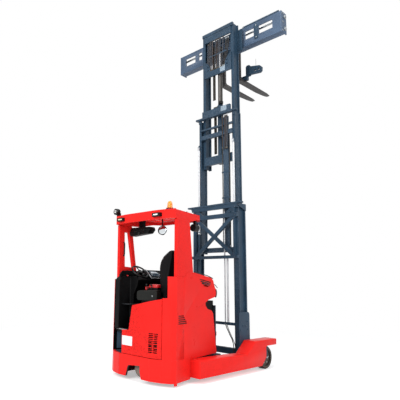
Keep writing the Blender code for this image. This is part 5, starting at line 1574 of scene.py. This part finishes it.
@dataclass
class ForkLooks:
    """Fork frame, guide rods and forks with their fastenings."""

    guides: tuple[float, ...] = (5.65, 5.87)
    guide_y: float = 2.165
    half: float = 1.14

    def build(self, frame: Frame) -> None:
        """Paints the frame and forks and adds rods' collars, cylinder ends and plates."""
        # the frame's paint is paler than the mast's, as painted light
        beam = frame.round_off("fork_frame", LIGHTENED_FRAME_PAINT, 0.002)
        frame.accent(beam, HARD_CHROME, self.is_guide)
        frame.round_off("positioner_cylinder", MAST_PAINT, 0.002)
        for name in ("fork_right", "fork_left"):
            fork = frame.round_off(name, FORGED_STEEL, 0.003)
            frame.accent(fork, MAST_PAINT, self.is_carrier)
        self.add_collars()
        self.add_cylinder_ends()
        self.add_frame_bolts()
        self.add_carrier_plate()
        self.add_aerial()
        self.add_hook_pins()

    def is_guide(self, centres: np.ndarray) -> np.ndarray:
        """Faces of the guide rods."""
        near = np.zeros(len(centres), bool)
        for z in self.guides:
            near |= np.hypot(centres[:, 1] - self.guide_y, centres[:, 2] - z) < 0.0215
        return near & (np.abs(centres[:, 0]) < self.half + 0.05)

    def is_carrier(self, centres: np.ndarray) -> np.ndarray:
        """Faces of the carrier blocks and of the bracket beside the right fork."""
        block = (centres[:, 1] < self.guide_y + 0.037) & (centres[:, 2] > 5.55)
        bracket = (centres[:, 1] > 2.33) & (centres[:, 1] < 2.42) & (centres[:, 2] > 5.105)
        return block | bracket

    def add_collars(self) -> None:
        """Clamped collars and nuts at the ends of the guide rods."""
        ring = lathe([(0.0205, 0.0), (0.033, 0.0), (0.035, 0.003), (0.035, 0.014), (0.033, 0.017), (0.0205, 0.017),
                (0.0205, 0.0)], (self.half + 0.003, 0, 0), "X", 32)
        knob = lathe([(0.0, 0.0), (0.014, 0.0), (0.013, 0.003), (0.0, 0.0045)], (self.half + 0.0305, 0, 0), "X", 20)
        pair = (ring + knob).repeated([(0, self.guide_y, z) for z in self.guides])
        dress("guide_rod_collars", pair + pair.mirrored(), ZINC, Body.FORK_FRAME)

    def add_cylinder_ends(self) -> None:
        """Gland, rod and eye of the positioner cylinder."""
        y, z = 2.09, 5.98
        gland = lathe([(0.0, 0.0), (0.026, 0.0), (0.0275, 0.004), (0.0275, 0.022), (0.02, 0.026), (0.0, 0.026)],
                (0.36, y, z), "X", 28)
        rod = lathe([(0.0, 0.0), (0.011, 0.0), (0.011, 0.12), (0.0, 0.12)], (0.245, y, z), "X", 20)
        eye = hoop(0.016, 0.007, (0.232, y, z), "Y", 24)
        pin = lathe([(0.0, -0.016), (0.010, -0.016), (0.010, 0.016), (0.0, 0.016)], (0.232, y, z), "Y", 18)
        foot = case((0.215, y - 0.015, 5.9505), (0.249, y + 0.015, 5.966), 0.006, 0.002)
        dress("cylinder_gland", gland, ZINC, Body.FORK_FRAME)
        dress("cylinder_rod", rod + eye, HARD_CHROME, Body.FORK_FRAME)
        dress("cylinder_rod_foot", pin + foot, MAST_PAINT, Body.FORK_FRAME)

    def add_frame_bolts(self) -> None:
        """Bolts on the end plates, and two on the frame's upper lip at its left."""
        head = hex_bolt(0.009, 0.007, "X")
        ends = head.repeated([(self.half + 0.0025, y, z) for y in (2.08, 2.12) for z in (5.60, 5.76, 5.92)])
        dress("end_plate_bolts", ends + ends.mirrored(), ZINC, Body.FORK_FRAME)
        stud = hex_bolt(0.007, 0.006)
        lip = stud.repeated([(side * x, 2.10, 5.9505) for side in (-1, 1) for x in (0.62, 0.86)][:2])
        dress("lip_bolts", lip, ZINC, Body.FORK_FRAME)

    def add_carrier_plate(self) -> None:
        """Rounded light carrier plate beside the outer right window of the frame."""
        plate = case((0.612, 2.0475, 5.630), (0.690, 2.0545, 5.930), 0.02, 0.002, "Y")
        dress("carrier_plate", plate, MAST_PAINT, Body.FORK_FRAME)
        bolt = hex_bolt(0.008, 0.006, "Y").placed(Matrix.Rotation(math.pi, 4, "Z"))
        dress("carrier_plate_bolts", bolt.repeated([(0.651, 2.0475, z) for z in (5.665, 5.895)]), ZINC, Body.FORK_FRAME)

    def add_aerial(self) -> None:
        """Thin rod that stands on the bracket's box beside the right fork."""
        rod = lathe([(0.0, 0.0), (0.006, 0.0), (0.006, 0.014), (0.0022, 0.02), (0.0022, 0.155), (0.0, 0.157)],
                (0.432, 2.38, 5.298), "Z", 12)
        dress("bracket_aerial", rod, BLACK_NYLON, Body.FORK_RIGHT)

    def add_hook_pins(self) -> None:
        """Bolts that clamp the carrier blocks to the fork shanks."""
        head = hex_bolt(0.010, 0.008, "Y")
        for x, body, name in ((0.15, Body.FORK_RIGHT, "right"), (-0.19, Body.FORK_LEFT, "left")):
            places = [(x + side * 0.07, 2.2015, z) for side in (-1, 1) for z in (5.70, 5.76, 5.82)]
            dress(f"{name}_carrier_bolts", head.repeated(places), ZINC, body)


@dataclass
class RunningGear:
    """Wheels, yokes and drive unit."""

    load: Point = (0.595, 2.09, 0.175)
    load_rim: float = 0.118
    drive: Point = (-0.04, 0.13, 0.16)

    def build(self, frame: Frame) -> None:
        """Finishes tyres and rims and adds hubs, bolts and mould lines."""
        for side, name in ((1, "right"), (-1, "left")):
            frame.round_off(f"{name}_yoke", DUSTY_PAINT, 0.002)
            wheel = frame.round_off(f"{name}_load_wheel", TYRE_RUBBER, 0.003)
            frame.accent(wheel, RIM_PAINT, self.is_rim)
            self.add_hub(side, name)
        frame.round_off("drive_unit", DUSTY_PAINT, 0.002)
        tread = frame.round_off("drive_wheel", CAST_TREAD, 0.003)
        frame.accent(tread, RIM_PAINT, self.is_drive_rim)
        self.add_motor()
        self.add_drive_hub()

    def is_rim(self, centres: np.ndarray) -> np.ndarray:
        """Faces of a load wheel's dished centre."""
        _, y, z = self.load
        return np.hypot(centres[:, 1] - y, centres[:, 2] - z) < self.load_rim

    def is_drive_rim(self, centres: np.ndarray) -> np.ndarray:
        """Faces of the drive wheel's dished centre."""
        _, y, z = self.drive
        return np.hypot(centres[:, 1] - y, centres[:, 2] - z) < 0.108

    def add_hub(self, side: int, name: str) -> None:
        """Six rim bolts and mould rings on both faces of a load wheel."""
        x, y, z = self.load
        turn = np.linspace(0, 2 * np.pi, 6, endpoint=False)
        bolt = hex_bolt(0.008, 0.007, "X")
        ring = np.stack([0 * turn + 0.0375, 0.088 * np.cos(turn), 0.088 * np.sin(turn)], -1)
        outer = bolt.repeated(ring)
        marks = hoop(0.163, 0.0011, (0.0577, 0, 0), "X", 64) + hoop(0.135, 0.0011, (0.0577, 0, 0), "X", 64)
        bolts = (outer + outer.mirrored()).moved(side * x, y, z)
        rings = (marks + marks.mirrored()).moved(side * x, y, z)
        body = Body.RIGHT_WHEEL if side > 0 else Body.LEFT_WHEEL
        dress(f"{name}_rim_bolts", bolts, ZINC, body)
        dress(f"{name}_tyre_mould_rings", rings, TYRE_RUBBER, body)
        cap = lathe([(0.0, 0.0), (0.014, 0.0), (0.014, 0.006), (0.010, 0.010), (0.0, 0.011)], (0.0697, 0, 0), "X",
                24)
        caps = (cap + cap.mirrored()).moved(side * x, y, z)
        dress(f"{name}_axle_caps", caps, ZINC, Body.RIGHT_YOKE if side > 0 else Body.LEFT_YOKE)

    def add_motor(self) -> None:
        """Cooling ribs round the drive motor, and the turntable's ring of bolts."""
        x, y, _ = self.drive
        profile = [(0.1145, 0.0)]
        for i in range(9):
            z = 0.02 * i
            profile += [(0.1145, z + 0.004), (0.121, z + 0.006), (0.121, z + 0.012), (0.1145, z + 0.014)]
        profile += [(0.1145, 0.19)]
        ribs = lathe(profile, (x, y, 0.375), "Z", 48)
        dress("motor_ribs", ribs, BLACK_ABS, Body.DRIVE)
        turn = np.linspace(0, 2 * np.pi, 12, endpoint=False)
        ring = np.stack([x + 0.185 * np.cos(turn), y + 0.185 * np.sin(turn), 0 * turn + 0.355], -1)
        dress("turntable_bolts", hex_bolt(0.008, 0.006).repeated(ring), ZINC, Body.DRIVE)

    def add_drive_hub(self) -> None:
        """Ring of wheel nuts on the drive wheel."""
        x, y, z = self.drive
        turn = np.linspace(0, 2 * np.pi, 7, endpoint=False)
        nut = hex_bolt(0.010, 0.012, "X")
        places = np.stack([0 * turn + x + 0.055, y + 0.085 * np.cos(turn), z + 0.085 * np.sin(turn)], -1)
        dress("drive_wheel_nuts", nut.repeated(places), ZINC, Body.DRIVE_WHEEL)


@dataclass
class SmallFittings:
    """Lamps, beacon, horn, fan, mirror, handles and the small foot under the skirt."""

    guard_top: float = 2.28

    def build(self, frame: Frame) -> None:
        """Finishes the small nodes and adds their details."""
        for node in ("work_light", "rear_lamp_left", "rear_lamp_right", "cab_mirror", "horn"):
            frame.round_off(node, BLACK_NYLON, 0.002)
        frame.round_off("cab_fan", BLACK_ABS, 0.003)
        frame.paint("beacon", AMBER_LENS)
        self.add_beacon()
        self.add_work_light()
        self.add_rear_lamps()
        self.add_fan()
        self.add_mirror()
        self.add_horn()
        self.add_handles()
        self.add_foot()

    def add_beacon(self) -> None:
        """Black base ring and Fresnel ribs round the dome."""
        x, y, z = 0.47, 0.03, self.guard_top
        base = lathe([(0.0505, 0.0005), (0.056, 0.001), (0.056, 0.014), (0.052, 0.022), (0.0475, 0.026)], (x, y, z),
                "Z", 40)
        base = base + lathe([(0.047, 0.001), (0.0505, 0.001), (0.0505, 0.0265), (0.047, 0.0265), (0.047, 0.001)],
                (x, y, z), "Z", 40)
        dress("beacon_base", base, BLACK_NYLON)
        heights = [0.04 + 0.0062 * i for i in range(9)]
        radii = np.interp(heights, [0.035, 0.10], [0.0382, 0.0322]).tolist()
        ribs = joined(hoop(radius, 0.0012, (x, y, z + height), "Z", 36) for radius, height in zip(radii, heights))
        dress("beacon_ribs", ribs, AMBER_LENS)

    def add_work_light(self) -> None:
        """Bezel, domed lens and cooling rings of the work light."""
        x, y, z = -0.54, -0.09, self.guard_top + 0.065
        lens = lathe([(0.0, -0.008), (0.02, -0.0065), (0.034, -0.003), (0.039, 0.0005), (0.0, 0.0006)], (x, y, z),
                "Y", 36)
        dress("work_light_lens", lens, SMOKED_LENS)
        bar = case((-0.022, -0.011, -0.005), (0.022, -0.006, 0.005), 0.004, 0.001, "Y")
        dress("work_light_bars", bar.repeated([(x, y, z + 0.011), (x, y, z - 0.011)]), CLEAR_LENS)
        rings = hoop(0.0430, 0.0042, (x, y - 0.0005, z), "Y", 40)
        for i in range(4):
            rings = rings + hoop(0.0475, 0.0016, (x, y + 0.018 + 0.009 * i, z), "Y", 36)
        yoke = strip(np.array([(x - 0.05, y + 0.03, z - 0.02), (x - 0.05, y + 0.03, z + 0.0)]), 0.004, 0.02)
        dress("work_light_bezel", rings + yoke, BLACK_NYLON)

    def add_rear_lamps(self) -> None:
        """Lens in three cells on each rear lamp, yellowed on the left one."""
        for name, x, y in (("left", -0.40, -0.12), ("right", 0.35, -0.13)):
            cells = case((-0.0125, -0.003, -0.009), (0.0125, 0.002, 0.009), 0.003, 0.0014, "Y")
            cells = cells.repeated([(x + dx, y, 2.21) for dx in (-0.027, 0.0, 0.027)])
            dress(f"rear_lamp_{name}_lens", cells, AGED_LENS if x < 0 else CLEAR_LENS)

    def add_fan(self) -> None:
        """Two round guards with hubs on the fan's rear face, and its round knob below."""
        rings = Shape(np.zeros((0, 3)))
        blades = Shape(np.zeros((0, 3)))
        for x, z in ((-0.345, 2.052), (-0.155, 2.058)):
            for radius in (0.012, 0.022, 0.032, 0.042):
                rings = rings + hoop(radius, 0.0016, (x, 0.136, z), "Y", 28)
            for k in range(6):
                a = math.pi * k / 3
                path = np.array([(x + 0.008 * math.cos(a), 0.1355, z + 0.008 * math.sin(a)),
                        (x + 0.043 * math.cos(a), 0.1355, z + 0.043 * math.sin(a))])
                rings = rings + sweep(path, circle(0.0014, 6), (0, 1, 0))
            blades = blades + lathe([(0.0, -0.004), (0.010, -0.004), (0.012, 0.001), (0.0, 0.0015)], (x, 0.139, z),
                    "Y", 18)
        dress("fan_guards", rings, BLACK_NYLON)
        dress("fan_hubs", blades, BLACK_NYLON)
        knob = lathe([(0.0, -0.014), (0.019, -0.014), (0.023, -0.008), (0.023, 0.001), (0.0, 0.001)], (-0.25, 0.14,
                2.016), "Y", 24)
        dress("fan_knob", knob, BLACK_NYLON)

    def add_mirror(self) -> None:
        """Convex mirror: a shallow dome that bulges towards the driver, in a rolled rim."""
        x, y, z = 0.17, 0.198, 2.04
        glass = lathe([(0.0, -0.012), (0.02, -0.0108), (0.04, -0.0072), (0.055, -0.002), (0.060, 0.001), (0.0,
                0.0012)], (0, 0, 0), "Y", 44)
        wide = Matrix.Translation((x, y, z)) @ Matrix.Diagonal((1.3, 1.0, 0.95, 1.0))
        dress("mirror_glass", glass.placed(wide), MIRROR_GLASS)
        dress("mirror_rim", hoop(0.064, 0.0045, (0, 0, 0), "Y", 44).placed(wide), BLACK_NYLON)

    def add_horn(self) -> None:
        """Grille rings on the horn's rear face and its mounting screw."""
        x, z = 0.40, 2.10
        rings = joined(hoop(radius, 0.0022, (x, 0.598, z), "Y", 36) for radius in (0.015, 0.027, 0.039, 0.050))
        dress("horn_grille", rings, BLACK_NYLON)
        boss = lathe([(0.0, -0.006), (0.010, -0.006), (0.012, 0.001), (0.0, 0.0015)], (x, 0.60, z), "Y", 20)
        dress("horn_boss", boss, BLACK_NYLON)

    def add_handles(self) -> None:
        """Grab handle on the left post, and the small knob at the guard's front right corner."""
        rail = tube([(-0.548, 0.094, 1.895), (-0.528, 0.094, 1.885), (-0.522, 0.094, 1.86), (-0.522, 0.094, 1.79),
                (-0.522, 0.094, 1.72), (-0.530, 0.094, 1.70), (-0.550, 0.094, 1.69)], 0.0095, up=(0, 1, 0))
        dress("grab_handle", rail, BLACK_NYLON)
        knob = lathe([(0.0, 0.0), (0.014, 0.0), (0.016, 0.004), (0.012, 0.012), (0.0, 0.015)], (0.573, 0.02,
                self.guard_top), "Z", 20)
        dress("guard_corner_cap", knob, RED_PAINT)

    def add_foot(self) -> None:
        """Small red stop under the rear corner of the skirt."""
        foot = case((0.580, 0.010, 0.020), (0.602, 0.055, 0.052), 0.005, 0.002)
        dress("skirt_stop", foot, RED_PAINT)


def clear_scene() -> None:
    """Removes the objects that a new Blender file starts with."""
    for old in list(bpy.data.objects):
        bpy.data.objects.remove(old)


def main() -> None:
    """Builds each sub-assembly in turn, then the studio."""
    logging.basicConfig(level=logging.INFO, format="%(name)s: %(message)s")
    clear_scene()
    frame = Frame()
    for part in (Bodywork(), Cab(), MastLooks(), LiftChain(), HoseRuns(), ForkLooks(), RunningGear(),
            SmallFittings()):
        before = len(bpy.data.objects)
        part.build(frame)
        LOG.info("%s: %d pieces", type(part).__name__, len(bpy.data.objects) - before)
    Studio().build()
    frame.write_sizes()


if __name__ == "__main__":
    main()
